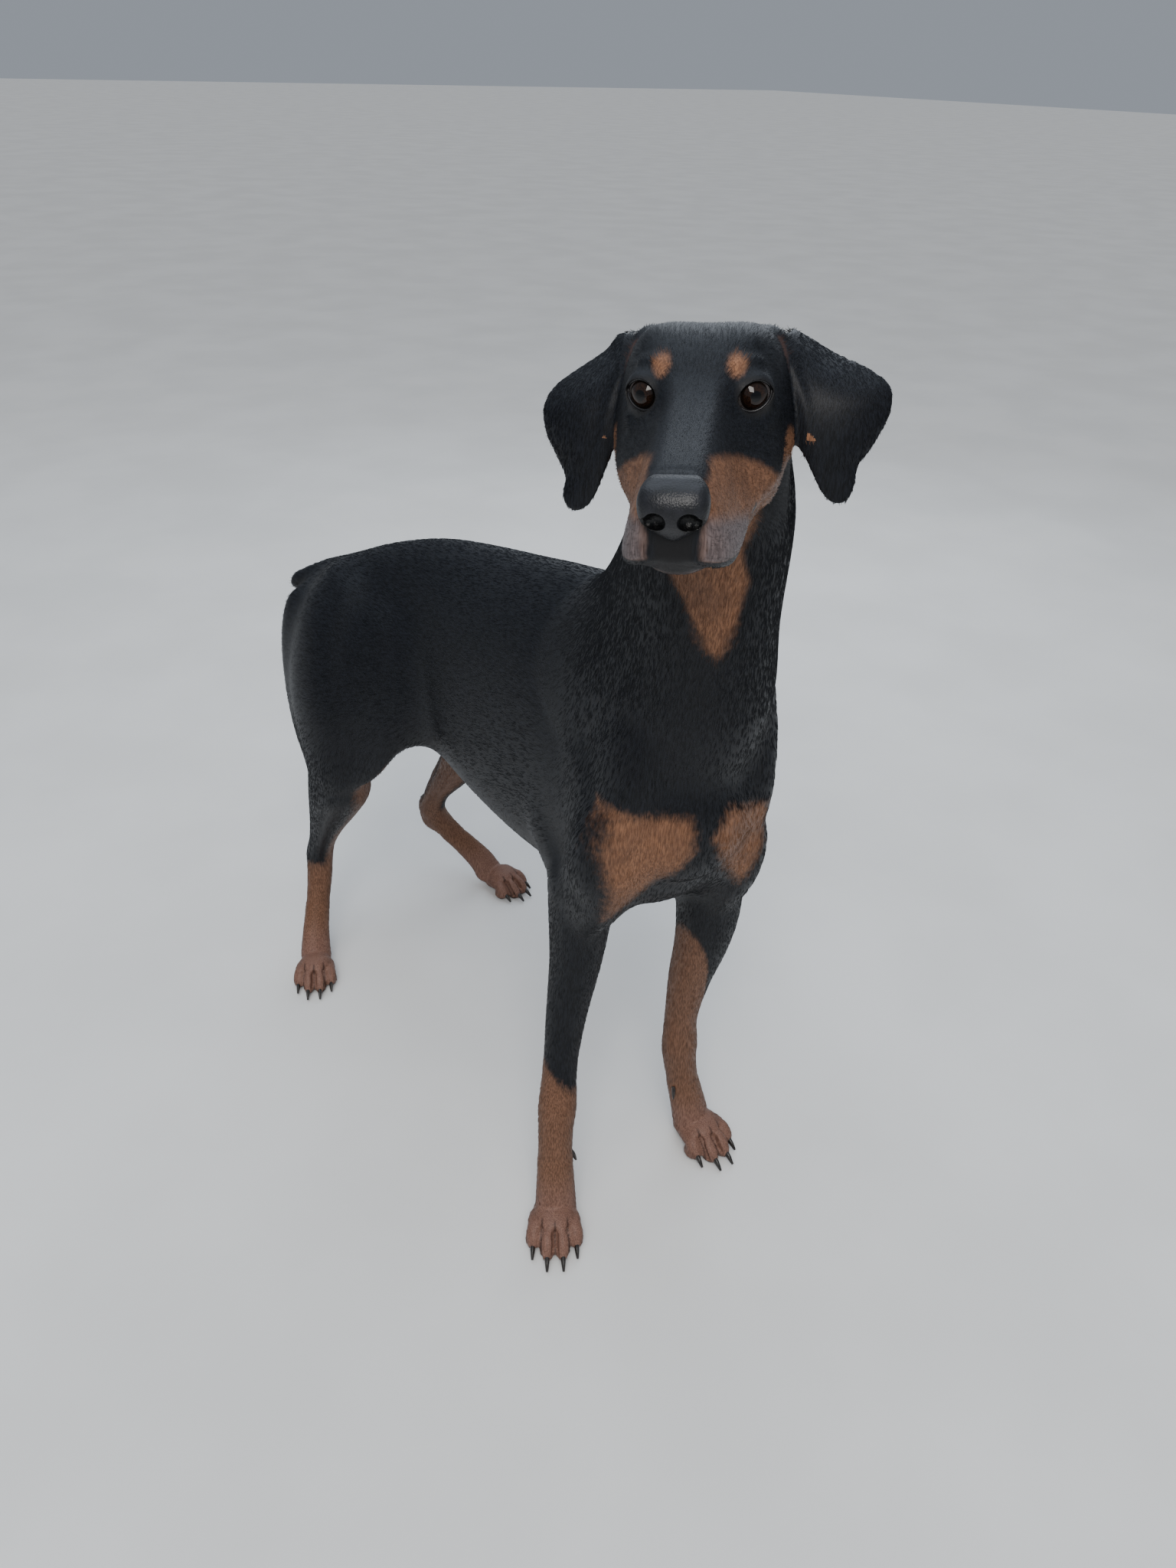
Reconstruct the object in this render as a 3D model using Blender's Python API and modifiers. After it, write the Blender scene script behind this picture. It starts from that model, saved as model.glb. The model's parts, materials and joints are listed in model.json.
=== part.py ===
"""Doberman pinscher: a life-size, still figure of a lean young dog.

It stands with its head turned to its right and lifted.

Metres, +Z up. The dog faces -Y, its left is +X, and its paws stand on z = 0.
The flesh is modelled whole from named forms, fused and smoothed, and then parted with thin cuts into
head, neck, torso, tail and leg pieces. Ears, nose, eyes and claws are made on their own.
"""

import math

import bmesh
import bpy
import numpy as np
from mathutils import Matrix, Vector
from mathutils.bvhtree import BVHTree

# Driving dimensions
WITHERS_HEIGHT = 0.698
CROUP_HEIGHT = 0.612
CHEST_HALF_WIDTH = 0.098
LOIN_HALF_WIDTH = 0.074
GAP = 0.0003
SHIFT = Vector((0.0105, 0.0970, 0.0))

# Fineness of the fused flesh, and the triangles that stay in it
BODY_VOXEL = 0.0040
FINE_VOXEL = 0.0020
BODY_TRIANGLES = 6900
HEAD_TRIANGLES = 2900
PAW_TRIANGLES = 800
MUSCLE_FILLET = 0.024
FACE_FILLET = 0.004
RELAX_IN = 0.60
RELAX_OUT = -0.56

# Head: its own frame has its origin midway between the eyes, with -Y along the muzzle
HEAD_PLACE = Vector((-0.126, -0.439, 0.934))
HEAD_TURN = math.radians(-47.0)
HEAD_LIFT = math.radians(3.0)
HEAD_TILT = math.radians(-3.5)
EYE_RADIUS = 0.0128
EYE_CENTRE = Vector((0.0288, 0.0098, 0.0))
EYE_OUTWARD = math.radians(22.0)
LID_BALL = (0.0161, 0.0161, 0.0150)
LID_SLANT = 0.12
LID_HALF_WIDTH = 0.0120
LID_HALF_HEIGHT = 0.0089
EAR_THICKNESS = 0.0036
EAR_SWELL = Vector((0.30, -0.92, 0.15))
NOSE_BACK = 0.115
NOSTRIL = Vector((0.0088, -0.1385, -0.0368))
NOSE_TRIANGLES = 420
NOSTRIL_TRIANGLES = 120
LIP_GROOVE = 0.0013
CLAW_RADIUS = 0.0045
CLAW_REACH = (-0.0170, -0.0072)
DEWCLAW_RADIUS = 0.0034

# The front half of the spine bends to the dog's right and the rear half to its left.
# Each torso station: y, x of the spine, top, bottom and half width.
TORSO = (
    (-0.350, -0.010, 0.600, 0.474, 0.056),
    (-0.334, -0.006, 0.622, 0.445, 0.074),
    (-0.300, 0.002, 0.650, 0.412, 0.086),
    (-0.250, 0.012, 0.680, 0.388, 0.086),
    (-0.180, 0.021, WITHERS_HEIGHT, 0.367, 0.092),
    (-0.100, 0.029, 0.684, 0.358, CHEST_HALF_WIDTH),
    (-0.020, 0.033, 0.666, 0.362, 0.098),
    (0.050, 0.029, 0.655, 0.372, 0.088),
    (0.110, 0.017, 0.646, 0.392, LOIN_HALF_WIDTH),
    (0.160, 0.002, 0.632, 0.414, 0.068),
    (0.210, -0.014, CROUP_HEIGHT, 0.445, 0.070),
    (0.255, -0.030, 0.588, 0.474, 0.068),
    (0.290, -0.042, 0.566, 0.496, 0.050),
)

# Neck stations from the skull down: nape point, throat point, half width
NECK = (
    ((-0.034, -0.356, 0.935), (-0.086, -0.406, 0.852), 0.048),
    ((-0.005, -0.312, 0.868), (-0.053, -0.408, 0.785), 0.059),
    ((0.009, -0.264, 0.795), (-0.032, -0.402, 0.705), 0.063),
    ((0.020, -0.210, 0.728), (-0.012, -0.386, 0.615), 0.077),
    ((0.028, -0.130, 0.675), (0.000, -0.338, 0.520), 0.084),
)

# Tail stub stations: upper point, lower point, half width
TAIL = (
    ((-0.028, 0.235, 0.600), (-0.032, 0.255, 0.535), 0.028),
    ((-0.037, 0.275, 0.584), (-0.040, 0.288, 0.542), 0.021),
    ((-0.050, 0.304, 0.568), (-0.053, 0.308, 0.534), 0.0165),
    ((-0.064, 0.328, 0.553), (-0.064, 0.326, 0.528), 0.0125),
)

# Forelegs, from the elbow down: x, y, z of the bone, reach ahead, reach behind, half width
FORE_HEADING = {"right": math.radians(-24.0), "left": math.radians(-6.0)}
BLADE_TOP = {"right": (-0.022, -0.178, 0.650), "left": (0.058, -0.192, 0.650)}
SHOULDER = {"right": (-0.072, -0.318, 0.505), "left": (0.060, -0.348, 0.500)}
NECK_STRAP = {"right": (-0.036, -0.300, 0.730), "left": (0.050, -0.315, 0.735)}
ELBOW = {"right": (-0.045, -0.230, 0.385), "left": (0.084, -0.270, 0.375)}
FORELEG = {
    "right": (
        (-0.044, -0.236, 0.430, 0.046, 0.036, 0.034),
        (-0.043, -0.234, 0.375, 0.042, 0.034, 0.032),
        (-0.048, -0.236, 0.320, 0.034, 0.028, 0.0275),
        (-0.060, -0.240, 0.255, 0.025, 0.023, 0.0225),
        (-0.072, -0.248, 0.195, 0.0195, 0.020, 0.0195),
        (-0.082, -0.258, 0.150, 0.0215, 0.020, 0.0220),
        (-0.088, -0.264, 0.125, 0.020, 0.021, 0.0205),
        (-0.094, -0.272, 0.090, 0.0175, 0.018, 0.0200),
        (-0.100, -0.282, 0.050, 0.0175, 0.0175, 0.0215),
        (-0.103, -0.287, 0.022, 0.020, 0.018, 0.0230),
    ),
    "left": (
        (0.080, -0.282, 0.425, 0.046, 0.036, 0.034),
        (0.087, -0.280, 0.362, 0.043, 0.034, 0.032),
        (0.088, -0.276, 0.310, 0.036, 0.028, 0.0285),
        (0.085, -0.268, 0.250, 0.027, 0.023, 0.0235),
        (0.084, -0.264, 0.190, 0.0195, 0.020, 0.0195),
        (0.086, -0.263, 0.148, 0.0215, 0.020, 0.0220),
        (0.088, -0.264, 0.124, 0.020, 0.021, 0.0205),
        (0.092, -0.268, 0.090, 0.0175, 0.018, 0.0200),
        (0.098, -0.276, 0.050, 0.0175, 0.0175, 0.0215),
        (0.101, -0.281, 0.022, 0.020, 0.018, 0.0230),
    ),
}

# Hind legs, in the same way
HIND_HEADING = {"right": math.radians(-12.0), "left": math.radians(4.0)}
SEAT = {"right": (-0.086, 0.278, 0.508), "left": (0.024, 0.283, 0.510)}
FLANK_TOP = {"right": (-0.034, 0.066, 0.590), "left": (0.044, 0.076, 0.590)}
STIFLE = {"right": (-0.108, 0.128, 0.352), "left": (0.108, 0.140, 0.340)}
HOCK = {"right": (-0.088, 0.306, 0.160), "left": (0.100, 0.335, 0.140)}
THIGH = {
    "right": (
        (-0.052, 0.200, 0.580, 0.046, 0.056, 0.026),
        (-0.078, 0.198, 0.530, 0.066, 0.078, 0.040),
        (-0.095, 0.190, 0.465, 0.078, 0.082, 0.046),
        (-0.102, 0.178, 0.410, 0.068, 0.072, 0.044),
        (-0.106, 0.166, 0.365, 0.052, 0.062, 0.038),
    ),
    "left": (
        (0.020, 0.208, 0.580, 0.046, 0.056, 0.026),
        (0.050, 0.206, 0.530, 0.066, 0.078, 0.040),
        (0.077, 0.198, 0.465, 0.078, 0.082, 0.046),
        (0.096, 0.186, 0.405, 0.068, 0.072, 0.044),
        (0.104, 0.176, 0.355, 0.052, 0.062, 0.038),
    ),
}
SHANK = {
    "right": (
        (-0.105, 0.164, 0.375, 0.045, 0.060, 0.036),
        (-0.101, 0.184, 0.330, 0.054, 0.048, 0.038),
        (-0.098, 0.214, 0.285, 0.046, 0.036, 0.032),
        (-0.096, 0.246, 0.235, 0.031, 0.026, 0.0235),
        (-0.093, 0.275, 0.190, 0.023, 0.022, 0.0185),
        (-0.092, 0.292, 0.155, 0.020, 0.023, 0.0190),
        (-0.098, 0.288, 0.120, 0.018, 0.018, 0.0180),
        (-0.112, 0.275, 0.080, 0.016, 0.016, 0.0170),
        (-0.126, 0.258, 0.045, 0.016, 0.016, 0.0190),
        (-0.133, 0.248, 0.022, 0.018, 0.018, 0.0210),
    ),
    "left": (
        (0.104, 0.175, 0.365, 0.045, 0.060, 0.036),
        (0.106, 0.200, 0.318, 0.050, 0.048, 0.036),
        (0.106, 0.232, 0.270, 0.041, 0.036, 0.030),
        (0.104, 0.268, 0.220, 0.028, 0.026, 0.0225),
        (0.102, 0.302, 0.175, 0.019, 0.021, 0.0170),
        (0.104, 0.320, 0.140, 0.020, 0.023, 0.0190),
        (0.118, 0.318, 0.110, 0.018, 0.018, 0.0180),
        (0.142, 0.302, 0.075, 0.016, 0.016, 0.0170),
        (0.164, 0.286, 0.042, 0.016, 0.016, 0.0190),
        (0.172, 0.276, 0.022, 0.018, 0.018, 0.0210),
    ),
}

# Paws: the middle of each paw on the floor, and how far out the toes point
PAW = {
    ("fore", "right"): (-0.112, -0.297, math.radians(-34.0)),
    ("fore", "left"): (0.104, -0.294, math.radians(-4.0)),
    ("hind", "right"): (-0.143, 0.230, math.radians(-30.0)),
    ("hind", "left"): (0.183, 0.252, math.radians(14.0)),
}
PAW_SIZE = {"fore": 1.0, "hind": 0.92}
TOES = (
    # across, ahead of the paw's middle, knuckle height
    (-0.0215, 0.022, 0.0215),
    (-0.0078, 0.037, 0.0245),
    (0.0078, 0.037, 0.0245),
    (0.0215, 0.022, 0.0215),
)
DEWCLAW_HEIGHT = 0.088

# Head sections from the nose to the nape, in the head's frame. Each has y and the height of its top, then
# across and height of the top's edge, of the side and of the lower edge, and the height of its underside.
SKULL = (
    (-0.1265, -0.0190, 0.0130, -0.0230, 0.0180, -0.0400, 0.0160, -0.0570, -0.0600),
    (-0.1180, -0.0150, 0.0150, -0.0190, 0.0235, -0.0420, 0.0240, -0.0635, -0.0640),
    (-0.1000, -0.0110, 0.0155, -0.0150, 0.0265, -0.0430, 0.0290, -0.0690, -0.0640),
    (-0.0750, -0.0065, 0.0160, -0.0105, 0.0275, -0.0400, 0.0310, -0.0710, -0.0640),
    (-0.0500, -0.0010, 0.0165, -0.0050, 0.0275, -0.0350, 0.0330, -0.0690, -0.0640),
    (-0.0280, 0.0040, 0.0165, 0.0005, 0.0300, -0.0300, 0.0350, -0.0640, -0.0640),
    (-0.0100, 0.0110, 0.0180, 0.0065, 0.0355, -0.0240, 0.0400, -0.0600, -0.0680),
    (0.0060, 0.0215, 0.0235, 0.0180, 0.0415, -0.0130, 0.0465, -0.0560, -0.0720),
    (0.0250, 0.0300, 0.0310, 0.0275, 0.0465, -0.0030, 0.0500, -0.0520, -0.0720),
    (0.0500, 0.0325, 0.0350, 0.0300, 0.0515, 0.0000, 0.0530, -0.0480, -0.0700),
    (0.0800, 0.0290, 0.0365, 0.0262, 0.0505, -0.0020, 0.0500, -0.0430, -0.0620),
    (0.1080, 0.0225, 0.0300, 0.0180, 0.0420, -0.0060, 0.0400, -0.0360, -0.0500),
    (0.1300, 0.0110, 0.0200, 0.0060, 0.0280, -0.0120, 0.0270, -0.0300, -0.0380),
)
# Lower jaw: y, top, bottom, half width
JAW = (
    (-0.110, -0.050, -0.0720, 0.0150),
    (-0.088, -0.050, -0.0775, 0.0200),
    (-0.055, -0.050, -0.0830, 0.0240),
    (-0.015, -0.045, -0.0900, 0.0300),
    (0.025, -0.040, -0.0930, 0.0370),
    (0.060, -0.030, -0.0850, 0.0390),
    (0.090, -0.020, -0.0700, 0.0340),
)
# Muscles of the left half of the face: start, end, half breadth, half depth and the way that they face
FACE = (
    # cheek
    ((0.038, 0.010, -0.062), (0.042, 0.088, -0.018), 0.0280, 0.0130, (1, 0, 0)),
    # cheekbone
    ((0.040, 0.000, -0.019), (0.050, 0.060, -0.008), 0.0095, 0.0050, (1, 0, 0)),
    # brow
    ((0.014, 0.004, 0.0145), (0.038, 0.020, 0.0150), 0.0060, 0.0072, (0, -1, 0.6)),
    # base of the ear
    ((0.026, 0.074, 0.0200), (0.046, 0.084, 0.0200), 0.0160, 0.0090, (0, 0, 1)),
    # temple
    ((0.033, 0.022, 0.010), (0.035, 0.100, 0.012), 0.0180, 0.0130, (1, 0, 0.4)),
)
# The parting of the lips on the dog's left, from the front of the muzzle to the corner
LIPS = (
    (0.0000, -0.1285, -0.0600),
    (0.0110, -0.1235, -0.0635),
    (0.0210, -0.1100, -0.0690),
    (0.0265, -0.0880, -0.0735),
    (0.0290, -0.0580, -0.0735),
    (0.0330, -0.0350, -0.0660),
    (0.0360, -0.0220, -0.0575),
)
# Nose pad from its lower edge up: height, reach forward, half width
NOSE = (
    (-0.0475, 0.1280, 0.0035),
    (-0.0430, 0.1325, 0.0110),
    (-0.0375, 0.1365, 0.0170),
    (-0.0285, 0.1372, 0.0186),
    (-0.0215, 0.1335, 0.0168),
    (-0.0175, 0.1270, 0.0132),
)
# Each ear from its root to its tip: front edge, back edge, swell of the leather between them
EARS = {
    "right": (
        ((0.0330, 0.070, 0.0215), (0.0340, 0.108, 0.0130), 0.001),
        ((0.0400, 0.069, 0.0235), (0.0470, 0.106, 0.0210), 0.002),
        ((0.0440, 0.066, 0.0180), (0.0606, 0.104, 0.0200), 0.004),
        ((0.0475, 0.061, 0.0090), (0.0692, 0.100, 0.0109), 0.005),
        ((0.0495, 0.057, -0.0012), (0.0827, 0.094, 0.0024), 0.007),
        ((0.0505, 0.054, -0.0122), (0.0997, 0.084, -0.0082), 0.008),
        ((0.0520, 0.052, -0.0236), (0.1077, 0.074, -0.0208), 0.008),
        ((0.0550, 0.050, -0.0367), (0.1051, 0.067, -0.0372), 0.007),
        ((0.0600, 0.049, -0.0488), (0.0958, 0.061, -0.0545), 0.005),
        ((0.0645, 0.049, -0.0599), (0.0914, 0.057, -0.0639), 0.003),
        ((0.0694, 0.050, -0.0714), (0.0931, 0.054, -0.0736), 0.002),
        ((0.0747, 0.050, -0.0795), (0.0896, 0.052, -0.0821), 0.001),
        ((0.0800, 0.050, -0.0833), (0.0842, 0.051, -0.0843), 0.000),
    ),
    "left": (
        ((0.0330, 0.070, 0.0225), (0.0340, 0.108, 0.0140), 0.001),
        ((0.0390, 0.069, 0.0240), (0.0420, 0.106, 0.0225), 0.002),
        ((0.0430, 0.066, 0.0200), (0.0505, 0.104, 0.0237), 0.004),
        ((0.0465, 0.061, 0.0115), (0.0610, 0.100, 0.0191), 0.005),
        ((0.0490, 0.057, 0.0009), (0.0785, 0.094, 0.0102), 0.007),
        ((0.0505, 0.054, -0.0110), (0.0993, 0.084, 0.0027), 0.008),
        ((0.0520, 0.052, -0.0221), (0.1138, 0.074, -0.0073), 0.008),
        ((0.0560, 0.050, -0.0348), (0.1141, 0.067, -0.0229), 0.007),
        ((0.0642, 0.049, -0.0465), (0.1056, 0.061, -0.0406), 0.005),
        ((0.0694, 0.049, -0.0565), (0.0977, 0.057, -0.0520), 0.003),
        ((0.0749, 0.050, -0.0666), (0.0964, 0.054, -0.0625), 0.002),
        ((0.0802, 0.050, -0.0727), (0.0930, 0.052, -0.0724), 0.001),
        ((0.0846, 0.050, -0.0751), (0.0881, 0.051, -0.0753), 0.000),
    ),
}

COAT_BLACK = (0.013, 0.014, 0.018)
COAT_RUST = (0.185, 0.080, 0.035)
NOSE_BLACK = (0.010, 0.011, 0.014)
EYE_BROWN = (0.045, 0.022, 0.010)
CLAW_DARK = (0.020, 0.017, 0.015)


def clear_scene():
    for thing in list(bpy.data.objects):
        bpy.data.objects.remove(thing, do_unlink=True)


def make_collection(name):
    group = bpy.data.collections.new(name)
    bpy.context.scene.collection.children.link(group)
    return group


def make_material(name, colour, roughness):
    """A Principled material with the piece's own colour."""
    material = bpy.data.materials.new(name)
    material.use_nodes = True
    shader = material.node_tree.nodes["Principled BSDF"]
    shader.inputs["Base Color"].default_value = (*colour, 1.0)
    shader.inputs["Roughness"].default_value = roughness
    shader.inputs["Metallic"].default_value = 0.0
    material.diffuse_color = (*colour, 1.0)
    return material


def unit(vector):
    return vector / np.linalg.norm(vector)


def smooth_rows(rows, steps):
    """Rows of numbers with a Catmull-Rom curve run through them."""
    rows = np.asarray(rows, float)
    padded = np.vstack([2 * rows[0] - rows[1], rows, 2 * rows[-1] - rows[-2]])
    out = []
    for i in range(1, len(padded) - 2):
        a, b, c, d = padded[i - 1 : i + 3]
        for t in np.arange(steps) / steps:
            bend = (2 * a - 5 * b + 4 * c - d) * t**2 + (3 * b - a - 3 * c + d) * t**3
            out.append(b + 0.5 * ((c - a) * t + bend))
    out.append(rows[-1])
    return np.array(out)


def bridge_rings(bm, rings):
    """Joins closed rings of points into one capped tube."""
    loops = [[bm.verts.new(point) for point in ring] for ring in rings]
    for low, high in zip(loops, loops[1:]):
        for k in range(len(low)):
            n = (k + 1) % len(low)
            bm.faces.new((low[k], low[n], high[n], high[k]))
    bm.faces.new(loops[0][::-1])
    bm.faces.new(loops[-1])


def loft(bm, stations, sides=20, steps=4, cap=0.6, square=1.0, place=Matrix.Identity(4)):
    """A closed, round-ended tube through stations of (front point, back point, half width).

    Front and back points lie opposite each other on a section, for instance nape and throat,
    and the half width lies across both them and the path. Below 1, square makes sections boxier.
    """
    rows = smooth_rows([(*front, *back, half) for front, back, half in stations], steps)
    centres = (rows[:, 0:3] + rows[:, 3:6]) / 2
    reach = (rows[:, 0:3] - rows[:, 3:6]) / 2
    path = np.gradient(centres, axis=0)
    across = [unit(np.cross(path[i], reach[i])) * max(rows[i, 6], 0.001) for i in range(len(rows))]
    sections = list(zip(centres, reach, across))
    for end, sign in ((0, -1.0), (-1, 1.0)):
        centre, up, side = sections[end]
        along = unit(path[end]) * sign * cap * min(np.linalg.norm(up), np.linalg.norm(side))
        extra = []
        for angle in (30, 55, 75, 88):
            turn = math.radians(angle)
            extra.append((centre + along * math.sin(turn), up * math.cos(turn), side * math.cos(turn)))
        sections = [*extra[::-1], *sections] if end == 0 else [*sections, *extra]
    rings = []
    for centre, up, side in sections:
        ring = []
        for k in range(sides):
            c, s = math.cos(2 * math.pi * k / sides), math.sin(2 * math.pi * k / sides)
            c, s = math.copysign(abs(c) ** square, c), math.copysign(abs(s) ** square, s)
            ring.append(place @ Vector(centre + up * c + side * s))
        rings.append(ring)
    bridge_rings(bm, rings)


def muscle(bm, start, end, half_width, half_depth, flat_side=(1.0, 0.0, 0.0), place=Matrix.Identity(4)):
    """A spindle: an ellipsoid from start to end, half_depth thick along flat_side."""
    start, end = Vector(start), Vector(end)
    along = (end - start) / 2
    thick = Vector(flat_side)
    thick = (thick - thick.project(along)).normalized()
    wide = along.cross(thick).normalized()
    frame = Matrix((thick * half_depth, wide * half_width, along)).transposed().to_4x4()
    frame.translation = (start + end) / 2
    bmesh.ops.create_uvsphere(bm, u_segments=20, v_segments=14, radius=1.0, matrix=place @ frame)


def ball(bm, centre, radii, place=Matrix.Identity(4)):
    """An ellipsoid with its axes along x, y and z."""
    frame = Matrix.Translation(centre) @ Matrix.Diagonal((*radii, 1.0))
    bmesh.ops.create_uvsphere(bm, u_segments=20, v_segments=14, radius=1.0, matrix=place @ frame)


def to_object(bm, name, group):
    bmesh.ops.recalc_face_normals(bm, faces=bm.faces)
    mesh = bpy.data.meshes.new(name)
    bm.to_mesh(mesh)
    bm.free()
    thing = bpy.data.objects.new(name, mesh)
    group.objects.link(thing)
    return thing


def as_cutter(thing):
    thing.hide_render = True
    thing.display_type = "WIRE"
    return thing


def apply_modifiers(thing):
    bpy.context.view_layer.update()
    graph = bpy.context.evaluated_depsgraph_get()
    mesh = bpy.data.meshes.new_from_object(thing.evaluated_get(graph))
    thing.modifiers.clear()
    thing.data = mesh
    return thing


def fuse(thing, voxel):
    """Turns overlapping closed forms into one surface."""
    remesh = thing.modifiers.new("Fuse", "REMESH")
    remesh.mode = "VOXEL"
    remesh.voxel_size = voxel
    return apply_modifiers(thing)


def grow(thing, distance):
    """Moves the surface outwards, or inwards below 0."""
    change = thing.modifiers.new("Grow", "DISPLACE")
    change.mid_level = 0.0
    change.strength = distance
    return apply_modifiers(thing)


def fill_creases(thing, voxel, radius):
    """Fuses the forms and rounds the creases between them by about the radius."""
    fuse(thing, voxel)
    grow(thing, radius)
    fuse(thing, voxel)
    return grow(thing, -radius)


def soften(thing, times):
    smooth = thing.modifiers.new("Soften", "SMOOTH")
    smooth.factor = 0.5
    smooth.iterations = times
    return apply_modifiers(thing)


def relax(thing, times, low, high):
    """Smooths the surface above a height, by more and more between low and high, without shrinking it."""
    mesh = thing.data
    points = np.empty(len(mesh.vertices) * 3)
    mesh.vertices.foreach_get("co", points)
    points = points.reshape(-1, 3)
    edges = np.empty(len(mesh.edges) * 2, int)
    mesh.edges.foreach_get("vertices", edges)
    near, far = edges.reshape(-1, 2).T
    count = np.bincount(edges, minlength=len(points))[:, None]
    share = np.clip((points[:, 2:] - low) / (high - low), 0.0, 1.0)
    for step in range(times):
        total = np.empty_like(points)
        for axis in range(3):
            forth = np.bincount(near, points[far, axis], len(points))
            total[:, axis] = forth + np.bincount(far, points[near, axis], len(points))
        points += share * (RELAX_OUT if step % 2 else RELAX_IN) * (total / count - points)
    mesh.vertices.foreach_set("co", points.ravel())
    return thing


def thin_out(thing, triangles):
    """Leaves about this many triangles, most of them where the surface bends."""
    thing.data.calc_loop_triangles()
    thin = thing.modifiers.new("Thin", "DECIMATE")
    thin.ratio = triangles / len(thing.data.loop_triangles)
    thin.use_collapse_triangulate = True
    return apply_modifiers(thing)


def cut(thing, cutter, operation="DIFFERENCE", solver="EXACT"):
    change = thing.modifiers.new("Cut", "BOOLEAN")
    change.operation = operation
    change.solver = solver
    change.object = cutter
    return apply_modifiers(thing)


def islands(thing):
    """The closed surfaces of a mesh, largest first, as face numbers with the middle of their corners."""
    bm = bmesh.new()
    bm.from_mesh(thing.data)
    seen, found = set(), []
    for face in bm.faces:
        if face.index in seen:
            continue
        stack, members, middle = [face], [], Vector()
        seen.add(face.index)
        while stack:
            here = stack.pop()
            members.append(here.index)
            middle += here.calc_center_median()
            for other in (o for edge in here.edges for o in edge.link_faces):
                if other.index not in seen:
                    seen.add(other.index)
                    stack.append(other)
        found.append((members, middle / len(members)))
    bm.free()
    return sorted(found, key=lambda island: -len(island[0]))


def keep_faces(thing, members, name, group):
    """A new object with only the listed faces of a mesh."""
    bm = bmesh.new()
    bm.from_mesh(thing.data)
    wanted = set(members)
    bmesh.ops.delete(bm, geom=[f for f in bm.faces if f.index not in wanted], context="FACES")
    return to_object(bm, name, group)


def keep_largest(thing):
    found = islands(thing)
    if len(found) > 1:
        bm = bmesh.new()
        bm.from_mesh(thing.data)
        wanted = set(found[0][0])
        bmesh.ops.delete(bm, geom=[f for f in bm.faces if f.index not in wanted], context="FACES")
        bm.to_mesh(thing.data)
        bm.free()
    return thing


def head_frame():
    """From the head's own frame to the dog's."""
    turn = Matrix.Rotation(HEAD_TURN, 4, "Z")
    lift = Matrix.Rotation(-HEAD_LIFT, 4, "X")
    tilt = Matrix.Rotation(HEAD_TILT, 4, "Y")
    return Matrix.Translation(HEAD_PLACE) @ turn @ lift @ tilt


def leg_loft(bm, stations, heading, **options):
    """A leg's tube, whose front faces the heading."""
    ahead = Vector((math.sin(heading), -math.cos(heading), 0.0))
    rows = []
    for x, y, z, front, back, half in stations:
        centre = Vector((x, y, z))
        rows.append((tuple(centre + ahead * front), tuple(centre - ahead * back), half))
    loft(bm, rows, **options)


def torso_forms(bm, sides=28):
    loft(bm, [((x, y, top), (x, y, bottom), half) for y, x, top, bottom, half in TORSO], sides=sides)


def breast_forms(bm):
    """The breast muscles, from the base of the throat down between the forelegs."""
    muscle(bm, (-0.006, -0.330, 0.620), (-0.002, -0.300, 0.425), 0.092, 0.040, (0, -1, 0))
    muscle(bm, (-0.056, -0.322, 0.575), (-0.058, -0.290, 0.430), 0.046, 0.036, (-0.4, -1, 0))
    muscle(bm, (0.034, -0.342, 0.575), (0.050, -0.322, 0.440), 0.046, 0.034, (0.3, -1, 0))


def foreleg_forms(bm, side):
    """Shoulder blade, neck strap, upper arm, triceps, foreleg and point of the elbow."""
    out = Vector((-1.0, 0.15, 0.0) if side == "right" else (1.0, -0.15, 0.0))
    top, joint, elbow = Vector(BLADE_TOP[side]), Vector(SHOULDER[side]), Vector(ELBOW[side])
    back = Vector((-math.sin(FORE_HEADING[side]), math.cos(FORE_HEADING[side]), 0.0))
    muscle(bm, top, joint, 0.054, 0.026, out)
    muscle(bm, NECK_STRAP[side], joint + Vector((0, 0, -0.010)), 0.044, 0.024, out)
    muscle(bm, joint + Vector((0, -0.008, 0.030)), elbow + Vector((0, 0, -0.020)), 0.042, 0.028, out)
    muscle(bm, top + out * 0.022 + Vector((0, 0.02, -0.06)), elbow + back * 0.02, 0.046, 0.028, out)
    leg_loft(bm, FORELEG[side], FORE_HEADING[side])
    point = elbow + back * 0.028
    muscle(bm, point + Vector((0, 0, 0.030)), point + Vector((0, 0, -0.022)), 0.013, 0.012, out)


def hindleg_forms(bm, side):
    """Thigh, flank, ham, shank, heel tendon and point of the hock."""
    out = Vector((-1.0 if side == "right" else 1.0, 0.0, 0.0))
    seat, stifle = Vector(SEAT[side]), Vector(STIFLE[side])
    leg_loft(bm, THIGH[side], HIND_HEADING[side])
    flank = Vector(FLANK_TOP[side])
    muscle(bm, flank, stifle + Vector((0, -0.002, 0.010)), 0.052, 0.020, out)
    behind = flank + out * 0.020 + Vector((0, 0.050, -0.010))
    muscle(bm, behind, stifle + Vector((0, 0.020, 0.020)), 0.056, 0.030, out)
    muscle(bm, seat + Vector((0, 0.006, 0.045)), stifle + Vector((0, 0.075, -0.030)), 0.042, 0.032, out)
    leg_loft(bm, SHANK[side], HIND_HEADING[side])
    hock_forms(bm, side)


def hock_forms(bm, side):
    """The heel tendon and the point of the hock."""
    out = (1.0, 0.0, 0.0)
    stifle, hock = Vector(STIFLE[side]), Vector(HOCK[side])
    muscle(bm, hock + Vector((0, 0.010, 0.016)), hock + Vector((0, -0.010, -0.040)), 0.012, 0.011, out)
    muscle(bm, stifle + Vector((0, 0.080, 0.0)), hock + Vector((0, 0.010, 0.0)), 0.012, 0.008, out)


def paw_place(leg, side):
    x, y, heading = PAW[leg, side]
    return Matrix.Translation((x, y, 0.0)) @ Matrix.Rotation(heading, 4, "Z")


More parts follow.
